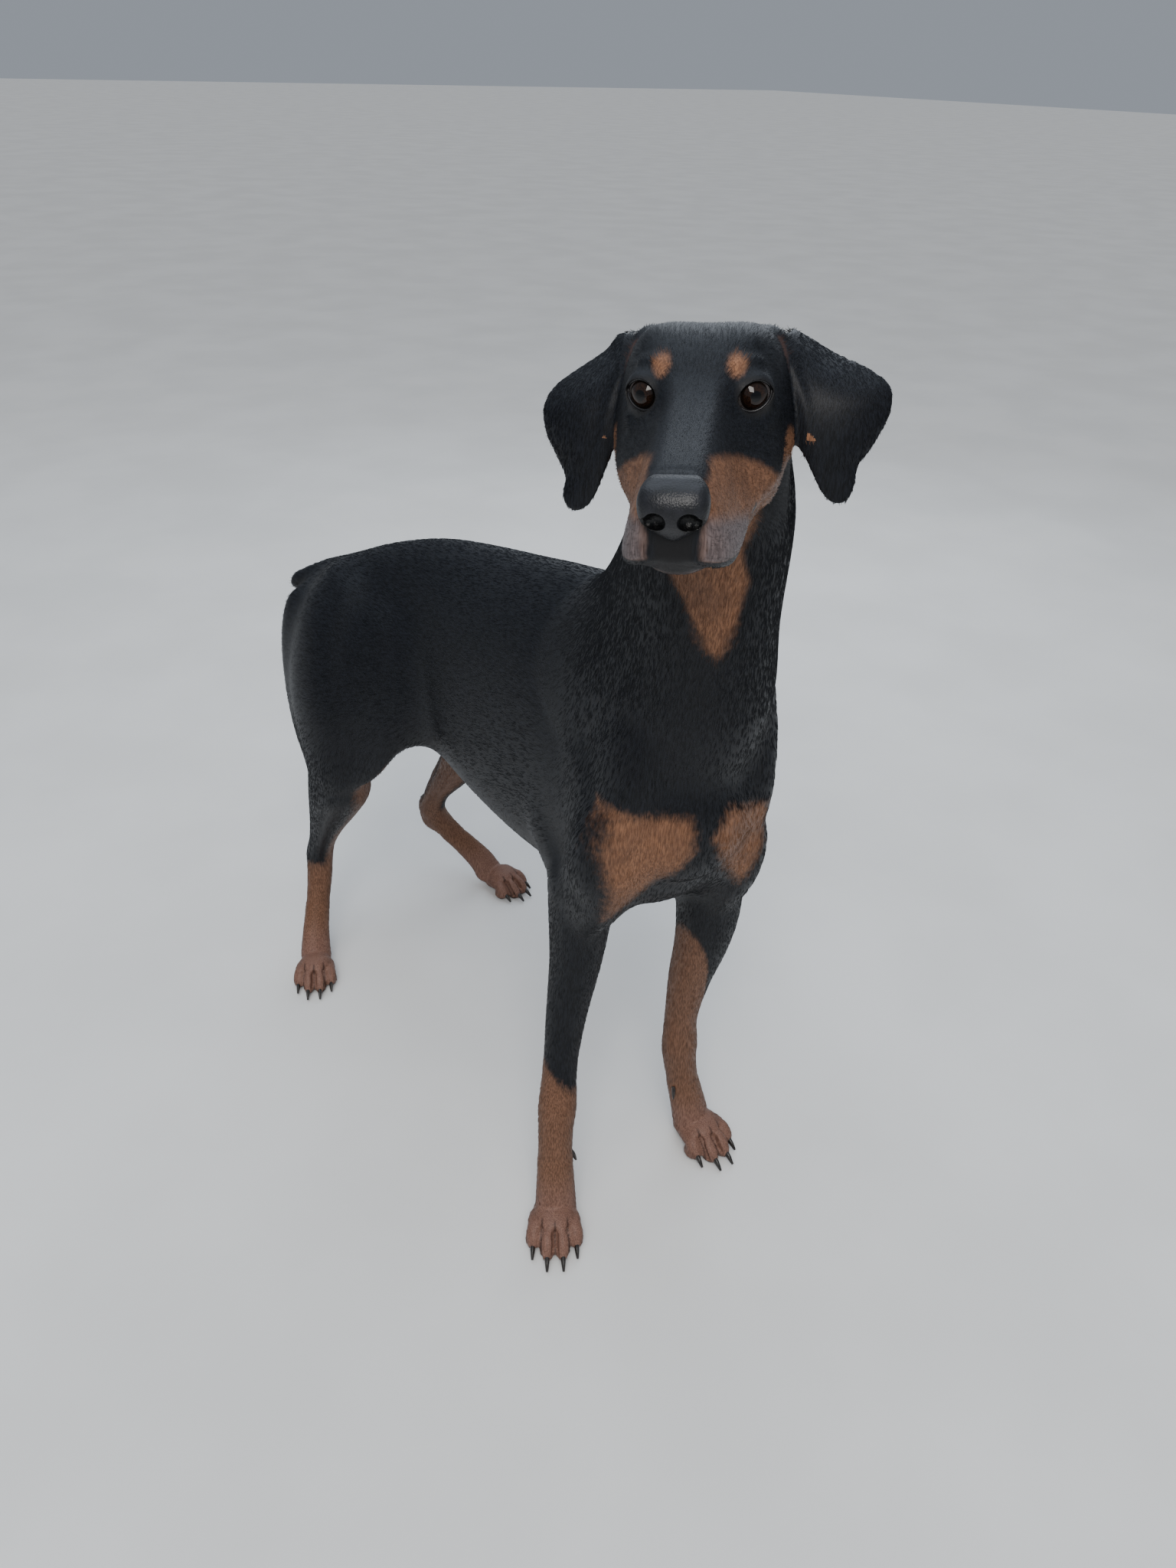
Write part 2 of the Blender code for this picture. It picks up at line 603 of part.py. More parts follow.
def toe_points(leg, toe):
    """Root, knuckle and tip of a toe in its paw's own frame, with -Y ahead."""
    across, ahead, knuckle = toe
    size = PAW_SIZE[leg]
    root = Vector((across * 0.75, 0.006, knuckle * 0.9)) * size
    bend = Vector((across, -ahead * 0.62, knuckle)) * size
    tip = Vector((across * 1.08, -ahead, 0.0110)) * size
    return root, bend, tip


def paw_forms(bm, leg, side):
    """Heel pad, foot and four arched toes."""
    place, size = paw_place(leg, side), PAW_SIZE[leg]
    ball(bm, Vector((0.0, 0.014, 0.0155)) * size, (0.023 * size, 0.022 * size, 0.0165), place)
    ball(bm, Vector((0.0, 0.000, 0.0240)) * size, (0.024 * size, 0.026 * size, 0.016), place)
    radius = 0.0088 * size
    for toe in TOES:
        root, bend, tip = toe_points(leg, toe)
        start, knuckle = root + Vector((0, 0.012, 0)), bend + (bend - root) * 0.35
        muscle(bm, start, knuckle, radius, radius, place=place)
        start, end = bend + Vector((0, 0.008, 0.006)), tip + Vector((0, -0.006, -0.004))
        muscle(bm, start, end, radius, radius, place=place)
        ball(bm, tip + Vector((0, 0.006, -0.002)), (0.0082 * size, 0.011 * size, 0.0092), place)


def skull_loft(bm, place):
    """The upper head, lofted through its sections."""
    rings = []
    for y, top, edge, edge_z, side, side_z, low, low_z, under in smooth_rows(SKULL, 4):
        half = [(edge, edge_z), (side, side_z), (low, low_z)]
        corners = [(0.0, top), *half, (0.0, under), *[(-x, z) for x, z in half[::-1]]]
        ring = smooth_rows([corners[-1], *corners, *corners[:2]], 4)[4:-4]
        rings.append([place @ Vector((x, y, z)) for x, z in ring[:-1]])
    bridge_rings(bm, rings)


def head_forms(bm):
    place = head_frame()
    skull_loft(bm, place)
    jaw = [((0, y, top), (0, y, low), half) for y, top, low, half in JAW]
    loft(bm, jaw, sides=28, square=0.85, place=place)
    for side in (-1.0, 1.0):
        for start, end, breadth, depth, facing in FACE:
            ends = [(side * x, y, z) for x, y, z in (start, end)]
            x, y, z = facing
            muscle(bm, *ends, breadth, depth, (side * x, y, z), place)
        ball(bm, (side * EYE_CENTRE.x, EYE_CENTRE.y, 0.0), LID_BALL, place)


def trunk(group):
    """Torso, neck and legs with soft creases, still without tail, paws and head."""
    bm = bmesh.new()
    torso_forms(bm)
    loft(bm, NECK, sides=24, cap=0.15)
    breast_forms(bm)
    for side in ("right", "left"):
        foreleg_forms(bm, side)
        hindleg_forms(bm, side)
    return fill_creases(to_object(bm, "trunk", group), BODY_VOXEL, MUSCLE_FILLET)


def body_flesh(group):
    smooth_trunk = trunk(group)
    bm = bmesh.new()
    bm.from_mesh(smooth_trunk.data)
    loft(bm, TAIL, sides=14, cap=1.0)
    bpy.data.objects.remove(smooth_trunk)
    flesh = soften(fuse(to_object(bm, "flesh", group), BODY_VOXEL), 6)
    return thin_out(relax(flesh, 80, 0.22, 0.38), BODY_TRIANGLES)


def head_flesh(group):
    bm = bmesh.new()
    head_forms(bm)
    loft(bm, NECK[:3], sides=24)
    head = fill_creases(to_object(bm, "head", group), FINE_VOXEL, FACE_FILLET)
    return thin_out(soften(fuse(head, FINE_VOXEL), 5), HEAD_TRIANGLES)


def paw_flesh(group, leg, side):
    """A paw with the leg above it, as far as the cut and a little more."""
    bm = bmesh.new()
    if leg == "fore":
        leg_loft(bm, FORELEG[side][4:], FORE_HEADING[side])
    else:
        leg_loft(bm, SHANK[side][3:], HIND_HEADING[side])
        hock_forms(bm, side)
    paw_forms(bm, leg, side)
    paw = fuse(to_object(bm, f"{leg}paw_{side}", group), FINE_VOXEL)
    return thin_out(soften(paw, 3), PAW_TRIANGLES)


def plate(group, name, centre, normal, length, width):
    """A sheet as thick as the gap, which parts the flesh across the normal; its length runs along y."""
    up = Vector(normal).normalized()
    across = Vector((0, 1, 0)).cross(up).normalized()
    along = up.cross(across)
    frame = Matrix((across * width, along * length, up * GAP)).transposed().to_4x4()
    frame.translation = Vector(centre)
    bm = bmesh.new()
    bmesh.ops.create_cube(bm, size=1.0, matrix=frame)
    return as_cutter(to_object(bm, name, group))


def wrist_plate(cutters, side):
    arm = FORELEG[side]
    along = Vector(arm[6][:3]) - Vector(arm[4][:3])
    return plate(cutters, f"cut_wrist_{side}", arm[5][:3], along, 0.075, 0.075)


def hock_plate(cutters, side):
    shank = SHANK[side]
    along = Vector(shank[4][:3]) - Vector(shank[3][:3])
    return plate(cutters, f"cut_hock_{side}", shank[4][:3], along, 0.085, 0.075)


def skull_plate(cutters):
    return plate(cutters, "cut_skull", (-0.046, -0.366, 0.868), (-0.42, -0.42, 0.80), 0.30, 0.30)


def body_plates(cutters):
    """The thin cuts that part the body."""
    made = [
        skull_plate(cutters),
        plate(cutters, "cut_neck", (0.000, -0.300, 0.668), (-0.20, -0.62, 0.72), 0.30, 0.30),
        plate(cutters, "cut_tail", (-0.057, 0.316, 0.549), (-0.42, 0.86, -0.30), 0.080, 0.080),
    ]
    for side, sign in (("right", -1.0), ("left", 1.0)):
        elbow = Vector(FORELEG[side][2][:3]) + Vector((0.0, 0.0, 0.020))
        thigh = Vector(THIGH[side][2][:3]) + Vector((0.0, 0.006, -0.060))
        stifle = Vector(SHANK[side][1][:3]) + Vector((0.0, 0.004, 0.010))
        made += [
            plate(cutters, f"cut_elbow_{side}", elbow, (sign * 0.25, 0.0, -1.0), 0.110, 0.095),
            wrist_plate(cutters, side),
            plate(cutters, f"cut_thigh_{side}", thigh, (sign * 0.55, 0.2, -0.8), 0.250, 0.190),
            plate(cutters, f"cut_stifle_{side}", stifle, (0.0, 0.35, -1.0), 0.170, 0.130),
            hock_plate(cutters, side),
        ]
    return made


def node_anchors():
    """A point inside each piece that the cuts leave."""
    anchors = {
        "torso": (0.025, -0.05, 0.52),
        "neck": (-0.025, -0.335, 0.77),
        "tail": (-0.062, 0.326, 0.544),
    }
    for side in ("right", "left"):
        anchors[f"foreleg_{side}"] = FORELEG[side][3][:3]
        anchors[f"thigh_{side}"] = THIGH[side][3][:3]
        anchors[f"shank_{side}"] = SHANK[side][2][:3]
    return {name: Vector(point) for name, point in anchors.items()}


def part_body(flesh, parts, cutters):
    """Cuts the flesh into its pieces, each the one nearest to its anchor."""
    for blade in body_plates(cutters):
        cut(flesh, blade)
    found = islands(flesh)
    pieces = {}
    for name, anchor in node_anchors().items():
        members, _ = min(found, key=lambda island: (island[1] - anchor).length)
        pieces[name] = keep_faces(flesh, members, name, parts)
    bpy.data.objects.remove(flesh)
    return pieces


def paw_piece(parts, leg, side):
    """A paw below its cut, flat where it stands."""
    paw = paw_flesh(parts, leg, side)
    cut(paw, bpy.data.objects["floor"])
    cut(paw, bpy.data.objects[f"cut_{'wrist' if leg == 'fore' else 'hock'}_{side}"])
    return keep_largest(paw)


def floor_block(cutters):
    bm = bmesh.new()
    bmesh.ops.create_cube(bm, size=2.0, matrix=Matrix.Translation((0, 0, -1.0)))
    return as_cutter(to_object(bm, "floor", cutters))


def eye_frame(side):
    """At an eyeball's centre, with -Y along its sight."""
    centre = Vector((side * EYE_CENTRE.x, EYE_CENTRE.y, EYE_CENTRE.z))
    return head_frame() @ Matrix.Translation(centre) @ Matrix.Rotation(side * EYE_OUTWARD, 4, "Z")


def eyeball(group, name, side, grown=0.0):
    bm = bmesh.new()
    frame = eye_frame(side) @ Matrix.Rotation(math.radians(90), 4, "X")
    bmesh.ops.create_uvsphere(bm, u_segments=16, v_segments=10, radius=EYE_RADIUS + grown, matrix=frame)
    return to_object(bm, name, group)


def lid_opening(group, name, side):
    """A prism of the almond between the lids, out from the eyeball's middle."""
    bm = bmesh.new()
    sides = 20
    rings = []
    for depth in (-0.003, -0.035):
        ring = []
        for k in range(sides):
            turn = 2 * math.pi * k / sides
            c, s = math.cos(turn), math.sin(turn)
            height = LID_HALF_HEIGHT * s * (1.0 - 0.30 * c * c)
            height += side * LID_SLANT * LID_HALF_WIDTH * c
            ring.append(eye_frame(side) @ Vector((LID_HALF_WIDTH * c, depth, height)))
        rings.append(ring)
    bridge_rings(bm, rings)
    return as_cutter(to_object(bm, name, group))


def open_eyes(head, cutters):
    for side, word in ((-1.0, "right"), (1.0, "left")):
        cut(head, as_cutter(eyeball(cutters, f"socket_{word}", side, GAP)))
        cut(head, lid_opening(cutters, f"lids_{word}", side))
    return head


def surface_path(thing, guide):
    """The guide's points moved onto the surface of the object."""
    bm = bmesh.new()
    bm.from_mesh(thing.data)
    tree = BVHTree.FromBMesh(bm)
    bm.free()
    return [tree.find_nearest(point)[0] for point in guide]


def lip_groove(head, cutters):
    """A fine tube along the parting of the lips, for cutting a groove."""
    right = [(-x, y, z) for x, y, z in LIPS[:0:-1]]
    rows = smooth_rows([*right, *LIPS], 3)
    guide = [head_frame() @ Vector(row) for row in rows]
    path = surface_path(head, guide)
    curve = bpy.data.curves.new("lips", "CURVE")
    curve.dimensions = "3D"
    curve.bevel_depth = LIP_GROOVE
    curve.bevel_resolution = 0
    curve.use_fill_caps = True
    line = curve.splines.new("POLY")
    line.points.add(len(path) - 1)
    for point, co in zip(line.points, path):
        point.co = (*co, 1.0)
    wire = bpy.data.objects.new("lips", curve)
    cutters.objects.link(wire)
    bpy.context.view_layer.update()
    graph = bpy.context.evaluated_depsgraph_get()
    bm = bmesh.new()
    bm.from_mesh(bpy.data.meshes.new_from_object(wire.evaluated_get(graph)))
    bmesh.ops.remove_doubles(bm, verts=bm.verts, dist=0.00001)
    bpy.data.objects.remove(wire)
    return as_cutter(to_object(bm, "lip_groove", cutters))


def grown_copy(thing, name, group, distance=GAP):
    """A slightly larger copy, for cutting a neighbour back to a gap."""
    twin = bpy.data.objects.new(name, thing.data.copy())
    group.objects.link(twin)
    return as_cutter(grow(twin, distance))


def nostril_forms(bm, side, depth):
    """The round opening of a nostril and its slit, which curls out to the side."""
    place = head_frame()
    middle = Vector((side * NOSTRIL.x, NOSTRIL.y, NOSTRIL.z))
    ball(bm, middle, (0.0062, depth, 0.0055), place)
    ball(bm, middle + Vector((side * 0.0034, 0.0010, -0.0014)), (0.0052, depth, 0.0044), place)
    muscle(bm, middle, (side * 0.0208, -0.1280, -0.0400), 0.0026, 0.0032, (0, 0, 1), place)


def nose_pad(parts, cutters, clearance):
    """The bare nose with its two nostrils, which curl round to its sides."""
    place = head_frame()
    bm = bmesh.new()
    rows = [((0, -reach, height), (0, -NOSE_BACK, height), half) for height, reach, half in NOSE]
    loft(bm, rows, sides=24, cap=0.3, square=0.72, place=place)
    nose = fuse(to_object(bm, "nose", parts), 0.0012)
    thin_out(soften(nose, 4), NOSE_TRIANGLES)
    for side in (-1.0, 1.0):
        bm = bmesh.new()
        nostril_forms(bm, side, 0.0060)
        hollow = fuse(to_object(bm, f"nostril_{side:.0f}", cutters), 0.0008)
        cut(nose, as_cutter(thin_out(hollow, NOSTRIL_TRIANGLES)))
    return keep_largest(cut(nose, clearance))


def ear(parts, name, rows, side, clearance):
    """The hanging leather: a cupped sheet between its front and back edges."""
    place = head_frame()
    rows = smooth_rows([(*front, *back, swell) for front, back, swell in rows], 2)
    across = 4
    bm = bmesh.new()
    grid = []
    for row in rows:
        front, back, swell = Vector(row[0:3]), Vector(row[3:6]), row[6]
        line = []
        for k in range(across + 1):
            t = k / across
            point = front.lerp(back, t) + EAR_SWELL * swell * 4 * t * (1 - t)
            line.append(bm.verts.new(place @ Vector((side * point.x, point.y, point.z))))
        grid.append(line)
    for low, high in zip(grid, grid[1:]):
        for k in range(across):
            corners = (low[k], low[k + 1], high[k + 1], high[k])
            bm.faces.new(corners if side > 0 else corners[::-1])
    mesh = bpy.data.meshes.new(name)
    bm.to_mesh(mesh)
    bm.free()
    leather = bpy.data.objects.new(name, mesh)
    parts.objects.link(leather)
    shell = leather.modifiers.new("Leather", "SOLIDIFY")
    shell.thickness = EAR_THICKNESS
    shell.offset = 0.0
    shell.use_even_offset = True
    apply_modifiers(leather)
    return keep_largest(cut(leather, clearance))


def claw(parts, name, root, tip, radius, clearance):
    """A curved horn from inside the toe to its blunt tip."""
    root, tip = Vector(root), Vector(tip)
    middle = root.lerp(tip, 0.55) + Vector((0, 0, 0.0022))
    bm = bmesh.new()
    path = [root, middle, tip]
    rings = []
    for i, (point, size) in enumerate(zip(path, (1.0, 0.85, 0.40))):
        ahead = (path[min(i + 1, 2)] - path[max(i - 1, 0)]).normalized()
        side = ahead.cross(Vector((0, 0, 1))).normalized()
        up = side.cross(ahead)
        ring = []
        for k in range(6):
            turn = math.pi * k / 3
            ring.append(point + (side * math.cos(turn) * 0.8 + up * math.sin(turn)) * radius * size)
        rings.append(ring)
    bridge_rings(bm, rings)
    return keep_largest(cut(to_object(bm, name, parts), clearance))


def paw_claws(parts, leg, side, clearance):
    place, size = paw_place(leg, side), PAW_SIZE[leg]
    made = []
    for number, toe in enumerate(TOES, 1):
        _, _, tip = toe_points(leg, toe)
        root = place @ (tip + Vector((0, 0.004, 0.0010)) * size)
        end = place @ (tip + Vector((toe[0] * 0.06, *CLAW_REACH)) * size)
        made.append(claw(parts, f"claw_{leg}_{side}_{number}", root, end, CLAW_RADIUS * size, clearance))
    return made


def dewclaw(parts, side, clearance):
    """The small first claw, high on the inside of the foreleg."""
    sign = 1.0 if side == "right" else -1.0
    x, y, z = FORELEG[side][7][:3]
    root = Vector((x + sign * 0.0165, y - 0.004, DEWCLAW_HEIGHT))
    tip = root + Vector((sign * 0.0045, -0.006, -0.013))
    return claw(parts, f"claw_fore_{side}_5", root, tip, DEWCLAW_RADIUS, clearance)


def main():
    clear_scene()
    parts = make_collection("doberman_pinscher")
    cutters = make_collection("cutters")

    floor_block(cutters)
    pieces = part_body(body_flesh(parts), parts, cutters)
    for leg in ("fore", "hind"):
        for side in ("right", "left"):
            pieces[f"{leg}paw_{side}"] = paw_piece(parts, leg, side)
    head = head_flesh(parts)
    cut(head, bpy.data.objects["cut_skull"])
    keep_largest(head)
    near_head = grown_copy(head, "near_head", cutters)
    open_eyes(head, cutters)
    cut(head, lip_groove(head, cutters))
    pieces["head"] = keep_largest(head)
    for side, word in ((-1.0, "right"), (1.0, "left")):
        pieces[f"eye_{word}"] = eyeball(parts, f"eye_{word}", side)
        pieces[f"ear_{word}"] = ear(parts, f"ear_{word}", EARS[word], side, near_head)
    pieces["nose"] = nose_pad(parts, cutters, near_head)
    for leg in ("fore", "hind"):
        for side in ("right", "left"):
            near_paw = grown_copy(pieces[f"{leg}paw_{side}"], f"near_{leg}paw_{side}", cutters)
            claws = paw_claws(parts, leg, side, near_paw)
            if leg == "fore":
                claws.append(dewclaw(parts, side, near_paw))
            pieces.update({horn.name: horn for horn in claws})

    for name, piece in pieces.items():
        colour, roughness = look_of(name)
        piece.data.materials.clear()
        piece.data.materials.append(make_material(f"{name}_look", colour, roughness))
        piece.data.transform(Matrix.Translation(SHIFT))
        piece.data.shade_smooth()
        piece.data.set_sharp_from_angle(angle=math.radians(40))


def look_of(name):
    if name.startswith("claw"):
        return CLAW_DARK, 0.40
    if name.startswith("eye"):
        return EYE_BROWN, 0.08
    if name == "nose":
        return NOSE_BLACK, 0.35
    if "paw" in name:
        return COAT_RUST, 0.60
    return COAT_BLACK, 0.50


main()
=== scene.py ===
"""Doberman pinscher, dressed for rendering: one skin with lids, lips and folds, markings and a short coat.

The forms are the named ones of the solids, fused at a finer grain. Metres, +Z up; the dog faces -Y.
"""

import json
import math

import bmesh
import bpy
import numpy as np
from mathutils import Matrix, Vector
from mathutils.bvhtree import BVHTree

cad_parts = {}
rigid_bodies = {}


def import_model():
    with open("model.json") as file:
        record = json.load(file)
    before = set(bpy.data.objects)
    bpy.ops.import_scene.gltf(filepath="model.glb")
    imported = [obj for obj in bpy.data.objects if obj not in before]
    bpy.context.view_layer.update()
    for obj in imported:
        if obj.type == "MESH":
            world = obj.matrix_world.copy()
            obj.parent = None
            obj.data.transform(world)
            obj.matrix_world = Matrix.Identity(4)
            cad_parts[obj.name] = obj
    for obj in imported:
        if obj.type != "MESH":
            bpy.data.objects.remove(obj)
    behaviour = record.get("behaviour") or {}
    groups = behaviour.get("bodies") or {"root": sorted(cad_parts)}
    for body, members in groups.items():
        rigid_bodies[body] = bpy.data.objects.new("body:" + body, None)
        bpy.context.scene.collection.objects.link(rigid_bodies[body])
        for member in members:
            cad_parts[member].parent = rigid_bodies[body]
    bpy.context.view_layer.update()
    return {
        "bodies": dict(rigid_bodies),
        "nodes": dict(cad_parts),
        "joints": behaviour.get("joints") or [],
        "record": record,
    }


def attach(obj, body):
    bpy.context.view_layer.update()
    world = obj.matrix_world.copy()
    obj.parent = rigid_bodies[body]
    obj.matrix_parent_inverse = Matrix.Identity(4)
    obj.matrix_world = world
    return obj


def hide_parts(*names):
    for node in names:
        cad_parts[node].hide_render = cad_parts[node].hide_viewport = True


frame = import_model()

# Sizes of the dog, as in its solids
# Driving dimensions
WITHERS_HEIGHT = 0.698
CROUP_HEIGHT = 0.612
CHEST_HALF_WIDTH = 0.098
LOIN_HALF_WIDTH = 0.074
SHIFT = Vector((0.0105, 0.0970, 0.0))
MUSCLE_FILLET = 0.024
FACE_FILLET = 0.004
RELAX_IN = 0.60
RELAX_OUT = -0.56
# Head: its own frame has its origin midway between the eyes, with -Y along the muzzle
HEAD_PLACE = Vector((-0.126, -0.439, 0.934))
HEAD_TURN = math.radians(-47.0)
HEAD_LIFT = math.radians(3.0)
HEAD_TILT = math.radians(-3.5)
EYE_RADIUS = 0.0128
EYE_CENTRE = Vector((0.0288, 0.0098, 0.0))
EYE_OUTWARD = math.radians(22.0)
LID_BALL = (0.0161, 0.0161, 0.0150)
LID_SLANT = 0.12
LID_HALF_WIDTH = 0.0120
LID_HALF_HEIGHT = 0.0089
EAR_THICKNESS = 0.0036
EAR_SWELL = Vector((0.30, -0.92, 0.15))
NOSE_BACK = 0.115
NOSTRIL = Vector((0.0088, -0.1385, -0.0368))
CLAW_RADIUS = 0.0045
CLAW_REACH = (-0.0170, -0.0072)
DEWCLAW_RADIUS = 0.0034
# The front half of the spine bends to the dog's right and the rear half to its left.
# Each torso station: y, x of the spine, top, bottom and half width.
TORSO = (
    (-0.350, -0.010, 0.600, 0.474, 0.056),
    (-0.334, -0.006, 0.622, 0.445, 0.074),
    (-0.300, 0.002, 0.650, 0.412, 0.086),
    (-0.250, 0.012, 0.680, 0.388, 0.086),
    (-0.180, 0.021, WITHERS_HEIGHT, 0.367, 0.092),
    (-0.100, 0.029, 0.684, 0.358, CHEST_HALF_WIDTH),
    (-0.020, 0.033, 0.666, 0.362, 0.098),
    (0.050, 0.029, 0.655, 0.372, 0.088),
    (0.110, 0.017, 0.646, 0.392, LOIN_HALF_WIDTH),
    (0.160, 0.002, 0.632, 0.414, 0.068),
    (0.210, -0.014, CROUP_HEIGHT, 0.445, 0.070),
    (0.255, -0.030, 0.588, 0.474, 0.068),
    (0.290, -0.042, 0.566, 0.496, 0.050),
)
# Neck stations from the skull down: nape point, throat point, half width
NECK = (
    ((-0.034, -0.356, 0.935), (-0.086, -0.406, 0.852), 0.048),
    ((-0.005, -0.312, 0.868), (-0.053, -0.408, 0.785), 0.059),
    ((0.009, -0.264, 0.795), (-0.032, -0.402, 0.705), 0.063),
    ((0.020, -0.210, 0.728), (-0.012, -0.386, 0.615), 0.077),
    ((0.028, -0.130, 0.675), (0.000, -0.338, 0.520), 0.084),
)
# Tail stub stations: upper point, lower point, half width
TAIL = (
    ((-0.028, 0.235, 0.600), (-0.032, 0.255, 0.535), 0.028),
    ((-0.037, 0.275, 0.584), (-0.040, 0.288, 0.542), 0.021),
    ((-0.050, 0.304, 0.568), (-0.053, 0.308, 0.534), 0.0165),
    ((-0.064, 0.328, 0.553), (-0.064, 0.326, 0.528), 0.0125),
)
# Forelegs, from the elbow down: x, y, z of the bone, reach ahead, reach behind, half width
FORE_HEADING = {"right": math.radians(-24.0), "left": math.radians(-6.0)}
BLADE_TOP = {"right": (-0.022, -0.178, 0.650), "left": (0.058, -0.192, 0.650)}
SHOULDER = {"right": (-0.072, -0.318, 0.505), "left": (0.060, -0.348, 0.500)}
NECK_STRAP = {"right": (-0.036, -0.300, 0.730), "left": (0.050, -0.315, 0.735)}
ELBOW = {"right": (-0.045, -0.230, 0.385), "left": (0.084, -0.270, 0.375)}
FORELEG = {
    "right": (
        (-0.044, -0.236, 0.430, 0.046, 0.036, 0.034),
        (-0.043, -0.234, 0.375, 0.042, 0.034, 0.032),
        (-0.048, -0.236, 0.320, 0.034, 0.028, 0.0275),
        (-0.060, -0.240, 0.255, 0.025, 0.023, 0.0225),
        (-0.072, -0.248, 0.195, 0.0195, 0.020, 0.0195),
        (-0.082, -0.258, 0.150, 0.0215, 0.020, 0.0220),
        (-0.088, -0.264, 0.125, 0.020, 0.021, 0.0205),
        (-0.094, -0.272, 0.090, 0.0175, 0.018, 0.0200),
        (-0.100, -0.282, 0.050, 0.0175, 0.0175, 0.0215),
        (-0.103, -0.287, 0.022, 0.020, 0.018, 0.0230),
    ),
    "left": (
        (0.080, -0.282, 0.425, 0.046, 0.036, 0.034),
        (0.087, -0.280, 0.362, 0.043, 0.034, 0.032),
        (0.088, -0.276, 0.310, 0.036, 0.028, 0.0285),
        (0.085, -0.268, 0.250, 0.027, 0.023, 0.0235),
        (0.084, -0.264, 0.190, 0.0195, 0.020, 0.0195),
        (0.086, -0.263, 0.148, 0.0215, 0.020, 0.0220),
        (0.088, -0.264, 0.124, 0.020, 0.021, 0.0205),
        (0.092, -0.268, 0.090, 0.0175, 0.018, 0.0200),
        (0.098, -0.276, 0.050, 0.0175, 0.0175, 0.0215),
        (0.101, -0.281, 0.022, 0.020, 0.018, 0.0230),
    ),
}
# Hind legs, in the same way
HIND_HEADING = {"right": math.radians(-12.0), "left": math.radians(4.0)}
SEAT = {"right": (-0.086, 0.278, 0.508), "left": (0.024, 0.283, 0.510)}
FLANK_TOP = {"right": (-0.034, 0.066, 0.590), "left": (0.044, 0.076, 0.590)}
STIFLE = {"right": (-0.108, 0.128, 0.352), "left": (0.108, 0.140, 0.340)}
HOCK = {"right": (-0.088, 0.306, 0.160), "left": (0.100, 0.335, 0.140)}
THIGH = {
    "right": (
        (-0.052, 0.200, 0.580, 0.046, 0.056, 0.026),
        (-0.078, 0.198, 0.530, 0.066, 0.078, 0.040),
        (-0.095, 0.190, 0.465, 0.078, 0.082, 0.046),
        (-0.102, 0.178, 0.410, 0.068, 0.072, 0.044),
        (-0.106, 0.166, 0.365, 0.052, 0.062, 0.038),
    ),
    "left": (
        (0.020, 0.208, 0.580, 0.046, 0.056, 0.026),
        (0.050, 0.206, 0.530, 0.066, 0.078, 0.040),
        (0.077, 0.198, 0.465, 0.078, 0.082, 0.046),
        (0.096, 0.186, 0.405, 0.068, 0.072, 0.044),
        (0.104, 0.176, 0.355, 0.052, 0.062, 0.038),
    ),
}
SHANK = {
    "right": (
        (-0.105, 0.164, 0.375, 0.045, 0.060, 0.036),
        (-0.101, 0.184, 0.330, 0.054, 0.048, 0.038),
        (-0.098, 0.214, 0.285, 0.046, 0.036, 0.032),
        (-0.096, 0.246, 0.235, 0.031, 0.026, 0.0235),
        (-0.093, 0.275, 0.190, 0.023, 0.022, 0.0185),
        (-0.092, 0.292, 0.155, 0.020, 0.023, 0.0190),
        (-0.098, 0.288, 0.120, 0.018, 0.018, 0.0180),
        (-0.112, 0.275, 0.080, 0.016, 0.016, 0.0170),
        (-0.126, 0.258, 0.045, 0.016, 0.016, 0.0190),
        (-0.133, 0.248, 0.022, 0.018, 0.018, 0.0210),
    ),
    "left": (
        (0.104, 0.175, 0.365, 0.045, 0.060, 0.036),
        (0.106, 0.200, 0.318, 0.050, 0.048, 0.036),
        (0.106, 0.232, 0.270, 0.041, 0.036, 0.030),
        (0.104, 0.268, 0.220, 0.028, 0.026, 0.0225),
        (0.102, 0.302, 0.175, 0.019, 0.021, 0.0170),
        (0.104, 0.320, 0.140, 0.020, 0.023, 0.0190),
        (0.118, 0.318, 0.110, 0.018, 0.018, 0.0180),
        (0.142, 0.302, 0.075, 0.016, 0.016, 0.0170),
        (0.164, 0.286, 0.042, 0.016, 0.016, 0.0190),
        (0.172, 0.276, 0.022, 0.018, 0.018, 0.0210),
    ),
}
# Paws: the middle of each paw on the floor, and how far out the toes point
PAW = {
    ("fore", "right"): (-0.112, -0.297, math.radians(-34.0)),
    ("fore", "left"): (0.104, -0.294, math.radians(-4.0)),
    ("hind", "right"): (-0.143, 0.230, math.radians(-30.0)),
    ("hind", "left"): (0.183, 0.252, math.radians(14.0)),
}
PAW_SIZE = {"fore": 1.0, "hind": 0.92}
TOES = (
    # across, ahead of the paw's middle, knuckle height
    (-0.0215, 0.022, 0.0215),
    (-0.0078, 0.037, 0.0245),
    (0.0078, 0.037, 0.0245),
    (0.0215, 0.022, 0.0215),
)
DEWCLAW_HEIGHT = 0.088
